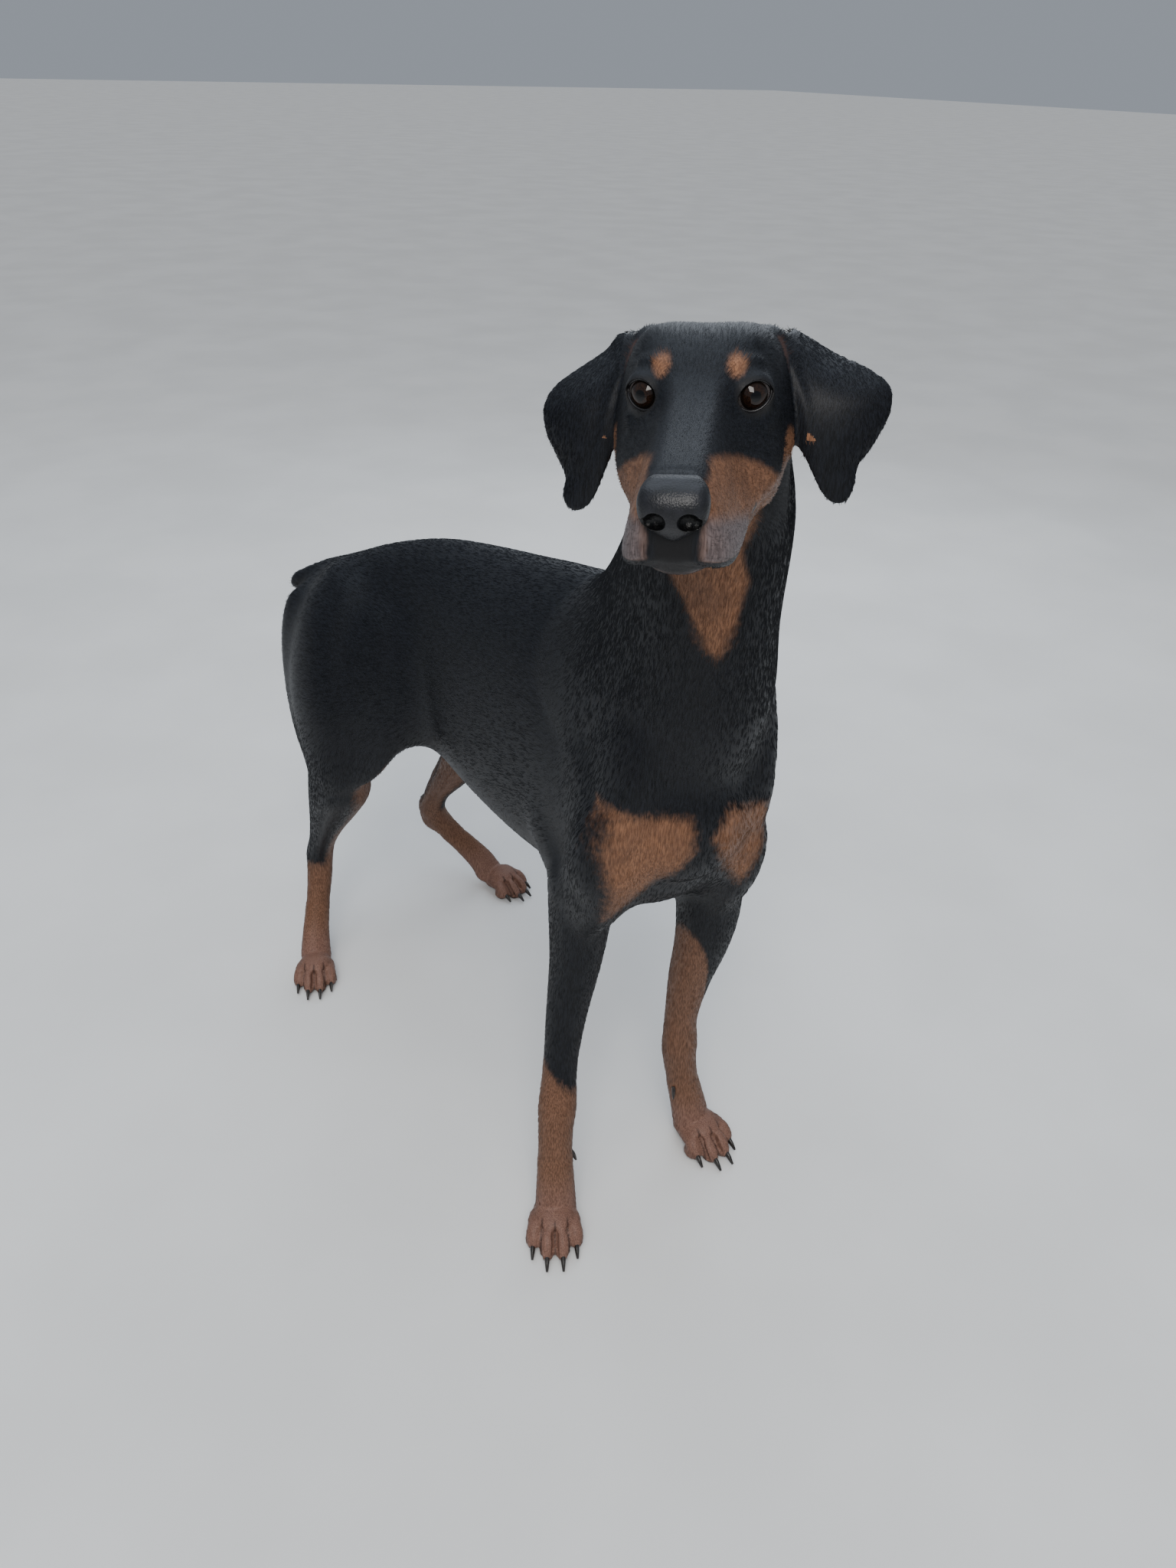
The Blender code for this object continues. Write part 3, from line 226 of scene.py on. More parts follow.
# Head sections from the nose to the nape, in the head's frame. Each has y and the height of its top, then
# across and height of the top's edge, of the side and of the lower edge, and the height of its underside.
SKULL = (
    (-0.1265, -0.0190, 0.0130, -0.0230, 0.0180, -0.0400, 0.0160, -0.0570, -0.0600),
    (-0.1180, -0.0150, 0.0150, -0.0190, 0.0235, -0.0420, 0.0240, -0.0635, -0.0640),
    (-0.1000, -0.0110, 0.0155, -0.0150, 0.0265, -0.0430, 0.0290, -0.0690, -0.0640),
    (-0.0750, -0.0065, 0.0160, -0.0105, 0.0275, -0.0400, 0.0310, -0.0710, -0.0640),
    (-0.0500, -0.0010, 0.0165, -0.0050, 0.0275, -0.0350, 0.0330, -0.0690, -0.0640),
    (-0.0280, 0.0040, 0.0165, 0.0005, 0.0300, -0.0300, 0.0350, -0.0640, -0.0640),
    (-0.0100, 0.0110, 0.0180, 0.0065, 0.0355, -0.0240, 0.0400, -0.0600, -0.0680),
    (0.0060, 0.0215, 0.0235, 0.0180, 0.0415, -0.0130, 0.0465, -0.0560, -0.0720),
    (0.0250, 0.0300, 0.0310, 0.0275, 0.0465, -0.0030, 0.0500, -0.0520, -0.0720),
    (0.0500, 0.0325, 0.0350, 0.0300, 0.0515, 0.0000, 0.0530, -0.0480, -0.0700),
    (0.0800, 0.0290, 0.0365, 0.0262, 0.0505, -0.0020, 0.0500, -0.0430, -0.0620),
    (0.1080, 0.0225, 0.0300, 0.0180, 0.0420, -0.0060, 0.0400, -0.0360, -0.0500),
    (0.1300, 0.0110, 0.0200, 0.0060, 0.0280, -0.0120, 0.0270, -0.0300, -0.0380),
)
# Lower jaw: y, top, bottom, half width
JAW = (
    (-0.110, -0.050, -0.0720, 0.0150),
    (-0.088, -0.050, -0.0775, 0.0200),
    (-0.055, -0.050, -0.0830, 0.0240),
    (-0.015, -0.045, -0.0900, 0.0300),
    (0.025, -0.040, -0.0930, 0.0370),
    (0.060, -0.030, -0.0850, 0.0390),
    (0.090, -0.020, -0.0700, 0.0340),
)
# Muscles of the left half of the face: start, end, half breadth, half depth and the way that they face
FACE = (
    # cheek
    ((0.038, 0.010, -0.062), (0.042, 0.088, -0.018), 0.0280, 0.0130, (1, 0, 0)),
    # cheekbone
    ((0.040, 0.000, -0.019), (0.050, 0.060, -0.008), 0.0095, 0.0050, (1, 0, 0)),
    # brow
    ((0.014, 0.004, 0.0145), (0.038, 0.020, 0.0150), 0.0060, 0.0072, (0, -1, 0.6)),
    # base of the ear
    ((0.026, 0.074, 0.0200), (0.046, 0.084, 0.0200), 0.0160, 0.0090, (0, 0, 1)),
    # temple
    ((0.033, 0.022, 0.010), (0.035, 0.100, 0.012), 0.0180, 0.0130, (1, 0, 0.4)),
)
# The parting of the lips on the dog's left, from the front of the muzzle to the corner
LIPS = (
    (0.0000, -0.1285, -0.0600),
    (0.0110, -0.1235, -0.0635),
    (0.0210, -0.1100, -0.0690),
    (0.0265, -0.0880, -0.0735),
    (0.0290, -0.0580, -0.0735),
    (0.0330, -0.0350, -0.0660),
    (0.0360, -0.0220, -0.0575),
)
# Nose pad from its lower edge up: height, reach forward, half width
NOSE = (
    (-0.0475, 0.1280, 0.0035),
    (-0.0430, 0.1325, 0.0110),
    (-0.0375, 0.1365, 0.0170),
    (-0.0285, 0.1372, 0.0186),
    (-0.0215, 0.1335, 0.0168),
    (-0.0175, 0.1270, 0.0132),
)
# Each ear from its root to its tip: front edge, back edge, swell of the leather between them
EARS = {
    "right": (
        ((0.0330, 0.070, 0.0215), (0.0340, 0.108, 0.0130), 0.001),
        ((0.0400, 0.069, 0.0235), (0.0470, 0.106, 0.0210), 0.002),
        ((0.0440, 0.066, 0.0180), (0.0606, 0.104, 0.0200), 0.004),
        ((0.0475, 0.061, 0.0090), (0.0692, 0.100, 0.0109), 0.005),
        ((0.0495, 0.057, -0.0012), (0.0827, 0.094, 0.0024), 0.007),
        ((0.0505, 0.054, -0.0122), (0.0997, 0.084, -0.0082), 0.008),
        ((0.0520, 0.052, -0.0236), (0.1077, 0.074, -0.0208), 0.008),
        ((0.0550, 0.050, -0.0367), (0.1051, 0.067, -0.0372), 0.007),
        ((0.0600, 0.049, -0.0488), (0.0958, 0.061, -0.0545), 0.005),
        ((0.0645, 0.049, -0.0599), (0.0914, 0.057, -0.0639), 0.003),
        ((0.0694, 0.050, -0.0714), (0.0931, 0.054, -0.0736), 0.002),
        ((0.0747, 0.050, -0.0795), (0.0896, 0.052, -0.0821), 0.001),
        ((0.0800, 0.050, -0.0833), (0.0842, 0.051, -0.0843), 0.000),
    ),
    "left": (
        ((0.0330, 0.070, 0.0225), (0.0340, 0.108, 0.0140), 0.001),
        ((0.0390, 0.069, 0.0240), (0.0420, 0.106, 0.0225), 0.002),
        ((0.0430, 0.066, 0.0200), (0.0505, 0.104, 0.0237), 0.004),
        ((0.0465, 0.061, 0.0115), (0.0610, 0.100, 0.0191), 0.005),
        ((0.0490, 0.057, 0.0009), (0.0785, 0.094, 0.0102), 0.007),
        ((0.0505, 0.054, -0.0110), (0.0993, 0.084, 0.0027), 0.008),
        ((0.0520, 0.052, -0.0221), (0.1138, 0.074, -0.0073), 0.008),
        ((0.0560, 0.050, -0.0348), (0.1141, 0.067, -0.0229), 0.007),
        ((0.0642, 0.049, -0.0465), (0.1056, 0.061, -0.0406), 0.005),
        ((0.0694, 0.049, -0.0565), (0.0977, 0.057, -0.0520), 0.003),
        ((0.0749, 0.050, -0.0666), (0.0964, 0.054, -0.0625), 0.002),
        ((0.0802, 0.050, -0.0727), (0.0930, 0.052, -0.0724), 0.001),
        ((0.0846, 0.050, -0.0751), (0.0881, 0.051, -0.0753), 0.000),
    ),
}

# Soft folds of the face, in the head's frame: a line, its width and its depth
FOLDS = (
    # between the upper lips, below the nose
    (((0, -0.1290, -0.0460), (0, -0.1292, -0.0530), (0, -0.1285, -0.0610)), 0.0014, 0.0024),
    # behind the nose pad
    (((-0.0130, -0.1150, -0.0160), (0, -0.1155, -0.0140), (0.0130, -0.1150, -0.0160)), 0.0012, 0.0011),
    # under the eyes
    (((-0.0200, -0.0060, -0.0125), (-0.0300, -0.0060, -0.0150), (-0.0400, 0.0010, -0.0130)), 0.0022, 0.0009),
    (((0.0200, -0.0060, -0.0125), (0.0300, -0.0060, -0.0150), (0.0400, 0.0010, -0.0130)), 0.0022, 0.0009),
)

# Upper edge of the rust on the side of the head: along it and its height
RUST_EDGE = (
    (-0.130, -0.0240),
    (-0.110, -0.0190),
    (-0.094, -0.0146),
    (-0.065, -0.0190),
    (-0.029, -0.0280),
    (-0.011, -0.0360),
    (0.004, -0.0460),
    (0.012, -0.0475),
    (0.021, -0.0290),
    (0.030, -0.0235),
    (0.055, -0.0300),
    (0.075, -0.0450),
    (0.095, -0.0800),
)
# The throat's rust by height: its middle across and its half width
THROAT = (
    (-0.207, 0.0095, -0.0040),
    (-0.198, 0.0095, 0.0070),
    (-0.176, 0.0085, 0.0150),
    (-0.155, 0.0070, 0.0210),
    (-0.141, 0.0050, 0.0270),
    (-0.125, 0.0010, 0.0270),
    (-0.080, -0.0020, 0.0250),
)
BROW_SPOT = (0.0215, 0.0028, 0.0166)
# Outlines of the two patches on the chest, across and height
CHEST_PATCHES = (
    ((-0.092, 0.520), (-0.070, 0.430), (-0.046, 0.480), (-0.030, 0.530), (-0.034, 0.563), (-0.084, 0.566)),
    ((-0.014, 0.540), (0.004, 0.508), (0.054, 0.448), (0.064, 0.500), (0.056, 0.548), (0.000, 0.565)),
)
CHEST_LIMIT = -0.307
VENT = (-0.036, 0.318, 0.505)

# Tufts of each coat piece: how many, length, width and lift in degrees
COAT = {
    "head": (26000, 0.0050, 0.00045, 7.0),
    "ears": (12000, 0.0032, 0.00042, 5.0),
    "neck": (24000, 0.0078, 0.00050, 2.5),
    "torso": (49000, 0.0090, 0.00058, 3.5),
    "forelegs": (24000, 0.0065, 0.00055, 5.0),
    "hindlegs": (30000, 0.0070, 0.00058, 5.0),
}

# The view and the light
FOCAL = 26.37
VIEW_FROM = Vector((-0.5928, -0.9455, 1.10))
VIEW_AHEAD = Vector((0.51953, 0.66497, -0.53656))
VIEW_RIGHT = Vector((0.79906, -0.60053, 0.02945))
WORLD_STRENGTH = 0.36
FLOOR_SIZE = 40.0
SUN_POWER = 1.3
SUN_WIDTH = 0.9
SUN_AHEAD = Vector((0.45, 0.50, -1.0))
# Name, place, size, power and colour
LAMPS = (
    ("key", (-1.3, -1.7, 2.5), 1.1, 42.0, (1.0, 0.97, 0.93)),
    ("sky", (0.2, 0.5, 3.0), 3.0, 40.0, (0.78, 0.88, 1.0)),
    ("rim", (1.8, 1.4, 1.6), 1.4, 12.0, (0.85, 0.92, 1.0)),
)

# Grain of the skin
TRUNK_VOXEL = 0.0040
BODY_VOXEL = 0.0031
HEAD_VOXEL = 0.0014
PAW_VOXEL = 0.0016
SKULL_CUT = (Vector((-0.046, -0.366, 0.868)), Vector((-0.42, -0.42, 0.80)).normalized())
PAW_CUT_HEIGHT = 0.090
SEAM = 0.0015


def unit(vector):
    return vector / np.linalg.norm(vector)


def smooth_rows(rows, steps):
    """Rows of numbers with a Catmull-Rom curve run through them."""
    rows = np.asarray(rows, float)
    padded = np.vstack([2 * rows[0] - rows[1], rows, 2 * rows[-1] - rows[-2]])
    out = []
    for i in range(1, len(padded) - 2):
        a, b, c, d = padded[i - 1 : i + 3]
        for t in np.arange(steps) / steps:
            bend = (2 * a - 5 * b + 4 * c - d) * t**2 + (3 * b - a - 3 * c + d) * t**3
            out.append(b + 0.5 * ((c - a) * t + bend))
    out.append(rows[-1])
    return np.array(out)


def bridge_rings(bm, rings):
    """Joins closed rings of points into one capped tube."""
    loops = [[bm.verts.new(point) for point in ring] for ring in rings]
    for low, high in zip(loops, loops[1:]):
        for k in range(len(low)):
            n = (k + 1) % len(low)
            bm.faces.new((low[k], low[n], high[n], high[k]))
    bm.faces.new(loops[0][::-1])
    bm.faces.new(loops[-1])


def loft(bm, stations, sides=20, steps=4, cap=0.6, square=1.0, place=Matrix.Identity(4)):
    """A closed, round-ended tube through stations of (front point, back point, half width).

    Front and back points lie opposite each other on a section, for instance nape and throat,
    and the half width lies across both them and the path. Below 1, square makes sections boxier.
    """
    rows = smooth_rows([(*front, *back, half) for front, back, half in stations], steps)
    centres = (rows[:, 0:3] + rows[:, 3:6]) / 2
    reach = (rows[:, 0:3] - rows[:, 3:6]) / 2
    path = np.gradient(centres, axis=0)
    across = [unit(np.cross(path[i], reach[i])) * max(rows[i, 6], 0.001) for i in range(len(rows))]
    sections = list(zip(centres, reach, across))
    for end, sign in ((0, -1.0), (-1, 1.0)):
        centre, up, side = sections[end]
        along = unit(path[end]) * sign * cap * min(np.linalg.norm(up), np.linalg.norm(side))
        extra = []
        for angle in (30, 55, 75, 88):
            turn = math.radians(angle)
            extra.append((centre + along * math.sin(turn), up * math.cos(turn), side * math.cos(turn)))
        sections = [*extra[::-1], *sections] if end == 0 else [*sections, *extra]
    rings = []
    for centre, up, side in sections:
        ring = []
        for k in range(sides):
            c, s = math.cos(2 * math.pi * k / sides), math.sin(2 * math.pi * k / sides)
            c, s = math.copysign(abs(c) ** square, c), math.copysign(abs(s) ** square, s)
            ring.append(place @ Vector(centre + up * c + side * s))
        rings.append(ring)
    bridge_rings(bm, rings)


def muscle(bm, start, end, half_width, half_depth, flat_side=(1.0, 0.0, 0.0), place=Matrix.Identity(4)):
    """A spindle: an ellipsoid from start to end, half_depth thick along flat_side."""
    start, end = Vector(start), Vector(end)
    along = (end - start) / 2
    thick = Vector(flat_side)
    thick = (thick - thick.project(along)).normalized()
    wide = along.cross(thick).normalized()
    frame = Matrix((thick * half_depth, wide * half_width, along)).transposed().to_4x4()
    frame.translation = (start + end) / 2
    bmesh.ops.create_uvsphere(bm, u_segments=20, v_segments=14, radius=1.0, matrix=place @ frame)


def ball(bm, centre, radii, place=Matrix.Identity(4)):
    """An ellipsoid with its axes along x, y and z."""
    frame = Matrix.Translation(centre) @ Matrix.Diagonal((*radii, 1.0))
    bmesh.ops.create_uvsphere(bm, u_segments=20, v_segments=14, radius=1.0, matrix=place @ frame)


def apply_modifiers(thing):
    bpy.context.view_layer.update()
    graph = bpy.context.evaluated_depsgraph_get()
    mesh = bpy.data.meshes.new_from_object(thing.evaluated_get(graph))
    thing.modifiers.clear()
    thing.data = mesh
    return thing


def fuse(thing, voxel):
    """Turns overlapping closed forms into one surface."""
    remesh = thing.modifiers.new("Fuse", "REMESH")
    remesh.mode = "VOXEL"
    remesh.voxel_size = voxel
    return apply_modifiers(thing)


def grow(thing, distance):
    """Moves the surface outwards, or inwards below 0."""
    change = thing.modifiers.new("Grow", "DISPLACE")
    change.mid_level = 0.0
    change.strength = distance
    return apply_modifiers(thing)


def fill_creases(thing, voxel, radius):
    """Fuses the forms and rounds the creases between them by about the radius."""
    fuse(thing, voxel)
    grow(thing, radius)
    fuse(thing, voxel)
    return grow(thing, -radius)


def soften(thing, times):
    smooth = thing.modifiers.new("Soften", "SMOOTH")
    smooth.factor = 0.5
    smooth.iterations = times
    return apply_modifiers(thing)


def relax(thing, times, low, high, outwards=RELAX_OUT):
    """Smooths the surface above a height, by more and more between low and high, without shrinking it."""
    mesh = thing.data
    points = np.empty(len(mesh.vertices) * 3)
    mesh.vertices.foreach_get("co", points)
    points = points.reshape(-1, 3)
    edges = np.empty(len(mesh.edges) * 2, int)
    mesh.edges.foreach_get("vertices", edges)
    near, far = edges.reshape(-1, 2).T
    count = np.bincount(edges, minlength=len(points))[:, None]
    share = np.clip((points[:, 2:] - low) / (high - low), 0.0, 1.0)
    for step in range(times):
        total = np.empty_like(points)
        for axis in range(3):
            forth = np.bincount(near, points[far, axis], len(points))
            total[:, axis] = forth + np.bincount(far, points[near, axis], len(points))
        points += share * (outwards if step % 2 else RELAX_IN) * (total / count - points)
    mesh.vertices.foreach_set("co", points.ravel())
    return thing


def cut(thing, cutter, operation="DIFFERENCE", solver="EXACT"):
    change = thing.modifiers.new("Cut", "BOOLEAN")
    change.operation = operation
    change.solver = solver
    change.object = cutter
    return apply_modifiers(thing)


def head_frame():
    """From the head's own frame to the dog's."""
    turn = Matrix.Rotation(HEAD_TURN, 4, "Z")
    lift = Matrix.Rotation(-HEAD_LIFT, 4, "X")
    tilt = Matrix.Rotation(HEAD_TILT, 4, "Y")
    return Matrix.Translation(HEAD_PLACE) @ turn @ lift @ tilt


def leg_loft(bm, stations, heading, **options):
    """A leg's tube, whose front faces the heading."""
    ahead = Vector((math.sin(heading), -math.cos(heading), 0.0))
    rows = []
    for x, y, z, front, back, half in stations:
        centre = Vector((x, y, z))
        rows.append((tuple(centre + ahead * front), tuple(centre - ahead * back), half))
    loft(bm, rows, **options)


def torso_forms(bm, sides=28):
    loft(bm, [((x, y, top), (x, y, bottom), half) for y, x, top, bottom, half in TORSO], sides=sides)


def breast_forms(bm):
    """The breast muscles, from the base of the throat down between the forelegs."""
    muscle(bm, (-0.006, -0.330, 0.620), (-0.002, -0.300, 0.425), 0.092, 0.040, (0, -1, 0))
    muscle(bm, (-0.056, -0.322, 0.575), (-0.058, -0.290, 0.430), 0.046, 0.036, (-0.4, -1, 0))
    muscle(bm, (0.034, -0.342, 0.575), (0.050, -0.322, 0.440), 0.046, 0.034, (0.3, -1, 0))


def foreleg_forms(bm, side):
    """Shoulder blade, neck strap, upper arm, triceps, foreleg and point of the elbow."""
    out = Vector((-1.0, 0.15, 0.0) if side == "right" else (1.0, -0.15, 0.0))
    top, joint, elbow = Vector(BLADE_TOP[side]), Vector(SHOULDER[side]), Vector(ELBOW[side])
    back = Vector((-math.sin(FORE_HEADING[side]), math.cos(FORE_HEADING[side]), 0.0))
    muscle(bm, top, joint, 0.054, 0.026, out)
    muscle(bm, NECK_STRAP[side], joint + Vector((0, 0, -0.010)), 0.044, 0.024, out)
    muscle(bm, joint + Vector((0, -0.008, 0.030)), elbow + Vector((0, 0, -0.020)), 0.042, 0.028, out)
    muscle(bm, top + out * 0.022 + Vector((0, 0.02, -0.06)), elbow + back * 0.02, 0.046, 0.028, out)
    leg_loft(bm, FORELEG[side], FORE_HEADING[side])
    point = elbow + back * 0.028
    muscle(bm, point + Vector((0, 0, 0.030)), point + Vector((0, 0, -0.022)), 0.013, 0.012, out)


def hindleg_forms(bm, side):
    """Thigh, flank, ham, shank, heel tendon and point of the hock."""
    out = Vector((-1.0 if side == "right" else 1.0, 0.0, 0.0))
    seat, stifle = Vector(SEAT[side]), Vector(STIFLE[side])
    leg_loft(bm, THIGH[side], HIND_HEADING[side])
    flank = Vector(FLANK_TOP[side])
    muscle(bm, flank, stifle + Vector((0, -0.002, 0.010)), 0.052, 0.020, out)
    behind = flank + out * 0.020 + Vector((0, 0.050, -0.010))
    muscle(bm, behind, stifle + Vector((0, 0.020, 0.020)), 0.056, 0.030, out)
    muscle(bm, seat + Vector((0, 0.006, 0.045)), stifle + Vector((0, 0.075, -0.030)), 0.042, 0.032, out)
    leg_loft(bm, SHANK[side], HIND_HEADING[side])
    hock_forms(bm, side)


def hock_forms(bm, side):
    """The heel tendon and the point of the hock."""
    out = (1.0, 0.0, 0.0)
    stifle, hock = Vector(STIFLE[side]), Vector(HOCK[side])
    muscle(bm, hock + Vector((0, 0.010, 0.016)), hock + Vector((0, -0.010, -0.040)), 0.012, 0.011, out)
    muscle(bm, stifle + Vector((0, 0.080, 0.0)), hock + Vector((0, 0.010, 0.0)), 0.012, 0.008, out)


def paw_place(leg, side):
    x, y, heading = PAW[leg, side]
    return Matrix.Translation((x, y, 0.0)) @ Matrix.Rotation(heading, 4, "Z")


def toe_points(leg, toe):
    """Root, knuckle and tip of a toe in its paw's own frame, with -Y ahead."""
    across, ahead, knuckle = toe
    size = PAW_SIZE[leg]
    root = Vector((across * 0.75, 0.006, knuckle * 0.9)) * size
    bend = Vector((across, -ahead * 0.62, knuckle)) * size
    tip = Vector((across * 1.08, -ahead, 0.0110)) * size
    return root, bend, tip


def paw_forms(bm, leg, side):
    """Heel pad, foot and four arched toes."""
    place, size = paw_place(leg, side), PAW_SIZE[leg]
    ball(bm, Vector((0.0, 0.014, 0.0155)) * size, (0.023 * size, 0.022 * size, 0.0165), place)
    ball(bm, Vector((0.0, 0.000, 0.0240)) * size, (0.024 * size, 0.026 * size, 0.016), place)
    radius = 0.0088 * size
    for toe in TOES:
        root, bend, tip = toe_points(leg, toe)
        start, knuckle = root + Vector((0, 0.012, 0)), bend + (bend - root) * 0.35
        muscle(bm, start, knuckle, radius, radius, place=place)
        start, end = bend + Vector((0, 0.008, 0.006)), tip + Vector((0, -0.006, -0.004))
        muscle(bm, start, end, radius, radius, place=place)
        ball(bm, tip + Vector((0, 0.006, -0.002)), (0.0082 * size, 0.011 * size, 0.0092), place)


def skull_loft(bm, place):
    """The upper head, lofted through its sections."""
    rings = []
    for y, top, edge, edge_z, side, side_z, low, low_z, under in smooth_rows(SKULL, 4):
        half = [(edge, edge_z), (side, side_z), (low, low_z)]
        corners = [(0.0, top), *half, (0.0, under), *[(-x, z) for x, z in half[::-1]]]
        ring = smooth_rows([corners[-1], *corners, *corners[:2]], 4)[4:-4]
        rings.append([place @ Vector((x, y, z)) for x, z in ring[:-1]])
    bridge_rings(bm, rings)


def head_forms(bm):
    place = head_frame()
    skull_loft(bm, place)
    jaw = [((0, y, top), (0, y, low), half) for y, top, low, half in JAW]
    loft(bm, jaw, sides=28, square=0.85, place=place)
    for side in (-1.0, 1.0):
        for start, end, breadth, depth, facing in FACE:
            ends = [(side * x, y, z) for x, y, z in (start, end)]
            x, y, z = facing
            muscle(bm, *ends, breadth, depth, (side * x, y, z), place)
        ball(bm, (side * EYE_CENTRE.x, EYE_CENTRE.y, 0.0), LID_BALL, place)


def eye_frame(side):
    """At an eyeball's centre, with -Y along its sight."""
    centre = Vector((side * EYE_CENTRE.x, EYE_CENTRE.y, EYE_CENTRE.z))
    return head_frame() @ Matrix.Translation(centre) @ Matrix.Rotation(side * EYE_OUTWARD, 4, "Z")


def nostril_forms(bm, side, depth):
    """The round opening of a nostril and its slit, which curls out to the side."""
    place = head_frame()
    middle = Vector((side * NOSTRIL.x, NOSTRIL.y, NOSTRIL.z))
    ball(bm, middle, (0.0062, depth, 0.0055), place)
    ball(bm, middle + Vector((side * 0.0034, 0.0010, -0.0014)), (0.0052, depth, 0.0044), place)
    muscle(bm, middle, (side * 0.0208, -0.1280, -0.0400), 0.0026, 0.0032, (0, 0, 1), place)


def to_object(bm, name):
    bmesh.ops.recalc_face_normals(bm, faces=bm.faces)
    mesh = bpy.data.meshes.new(name)
    bm.to_mesh(mesh)
    bm.free()
    thing = bpy.data.objects.new(name, mesh)
    bpy.context.scene.collection.objects.link(thing)
    return thing


def drop(thing):
    mesh = thing.data
    bpy.data.objects.remove(thing)
    bpy.data.meshes.remove(mesh)


def joined(things, name):
    """One object out of several, whose surfaces may overlap."""
    bm = bmesh.new()
    for thing in things:
        bm.from_mesh(thing.data)
    for thing in things:
        drop(thing)
    mesh = bpy.data.meshes.new(name)
    bm.to_mesh(mesh)
    bm.free()
    made = bpy.data.objects.new(name, mesh)
    bpy.context.scene.collection.objects.link(made)
    return made


def head_object(voxel):
    bm = bmesh.new()
    head_forms(bm)
    loft(bm, NECK[:3], sides=56)
    head = to_object(bm, "head_form")
    fill_creases(head, voxel, FACE_FILLET)
    return soften(fuse(head, voxel), 6)


def body_object():
    """Everything but the ears at the coarse grain, with the muscles' creases still readable."""
    bm = bmesh.new()
    torso_forms(bm, 72)
    loft(bm, NECK, sides=56, cap=0.15)
    breast_forms(bm)
    for side in ("right", "left"):
        foreleg_forms(bm, side)
        hindleg_forms(bm, side)
    trunk = fill_creases(to_object(bm, "trunk"), TRUNK_VOXEL, MUSCLE_FILLET)
    bm = bmesh.new()
    bm.from_mesh(trunk.data)
    drop(trunk)
    loft(bm, TAIL, sides=16, cap=1.0)
    head_forms(bm)
    body = soften(fuse(to_object(bm, "body_form"), BODY_VOXEL), 10)
    return ease_haunches(relax(body, 130, 0.22, 0.38))


def ease_haunches(body):
    """Smooths the thighs and the croup further, short of the tail."""
    before, _ = points_and_normals(body.data)
    relax(body, 50, 0.34, 0.42, RELAX_IN)
    after, _ = points_and_normals(body.data)
    share = smoothstep(-0.02, 0.06, before[:, 1]) * smoothstep(0.31, 0.26, before[:, 1])
    before += (after - before) * share[:, None]
    body.data.vertices.foreach_set("co", before.ravel())
    body.data.update()
    return body


def ear_object(side_word):
    """The hanging leather as a closed cup, thick at its root and thin at its hem."""
    side = 1.0 if side_word == "left" else -1.0
    place = head_frame()
    rows = smooth_rows([(*front, *back, swell) for front, back, swell in EARS[side_word]], 6)
    across = 22
    bm = bmesh.new()
    sheets = []
    for sign in (1.0, -1.0):
        grid = []
        for i, row in enumerate(rows):
            front, back, swell = Vector(row[0:3]), Vector(row[3:6]), row[6]
            down = i / (len(rows) - 1)
            line = []
            for k in range(across + 1):
                t = k / across
                thick = EAR_THICKNESS * 0.5 * (1.1 - 0.2 * down)
                fold = 0.0022 * math.exp(-(((t - 0.13) / 0.07) ** 2)) * math.sin(math.pi * min(1.0, down * 1.3))
                lift = swell * 4 * t * (1 - t) + fold
                point = front.lerp(back, t) + EAR_SWELL * lift
                point -= EAR_SWELL * (sign * thick)
                line.append(bm.verts.new(place @ Vector((side * point.x, point.y, point.z))))
            grid.append(line)
        sheets.append(grid)
    outer, inner = sheets
    for grid, turn in ((outer, False), (inner, True)):
        for low, high in zip(grid, grid[1:]):
            for k in range(across):
                corners = (low[k], low[k + 1], high[k + 1], high[k])
                bm.faces.new(corners[::-1] if turn else corners)
    rim = [(grid_row[0]) for grid_row in outer], [(grid_row[0]) for grid_row in inner]
    for a, b in ((rim[0], rim[1]), ([r[-1] for r in outer], [r[-1] for r in inner]), (outer[0], inner[0]), (outer[-1], inner[-1])):
        for k in range(len(a) - 1):
            bm.faces.new((a[k], a[k + 1], b[k + 1], b[k]))
    return to_object(bm, f"ear_form_{side_word}")


def head_with_ears():
    head = head_object(HEAD_VOXEL)
    press(head, mouth_line(), 0.0016, 0.0026)
    for line, width, depth in FOLDS:
        press(head, line, width, depth)
    whole = joined([head, ear_object("right"), ear_object("left")], "head_skin")
    fuse(whole, HEAD_VOXEL)
    return soften(whole, 4)


def paw_object(leg, side):
    bm = bmesh.new()
    if leg == "fore":
        leg_loft(bm, FORELEG[side][4:], FORE_HEADING[side])
    else:
        leg_loft(bm, SHANK[side][3:], HIND_HEADING[side])
    paw_forms(bm, leg, side)
    paw = soften(fuse(to_object(bm, f"paw_form_{leg}_{side}"), PAW_VOXEL), 6)
    for line in toe_gaps(leg):
        press(paw, line, 0.0026, 0.0060, paw_place(leg, side))
    return soften(paw, 1)


def toe_gaps(leg):
    """The lines between neighbouring toes, in the paw's own frame."""
    lines = []
    for toe, neighbour in zip(TOES, TOES[1:]):
        pairs = zip(toe_points(leg, toe), toe_points(leg, neighbour))
        root, bend, tip = [(a + b) / 2 for a, b in pairs]
        start = root.lerp(bend, 0.40) + Vector((0, 0, 0.0065))
        end = tip + Vector((0, -0.0090, -0.0085))
        lines.append((start, bend + Vector((0, -0.0030, 0.0045)), tip + Vector((0, -0.0055, 0.0020)), end))
    return lines


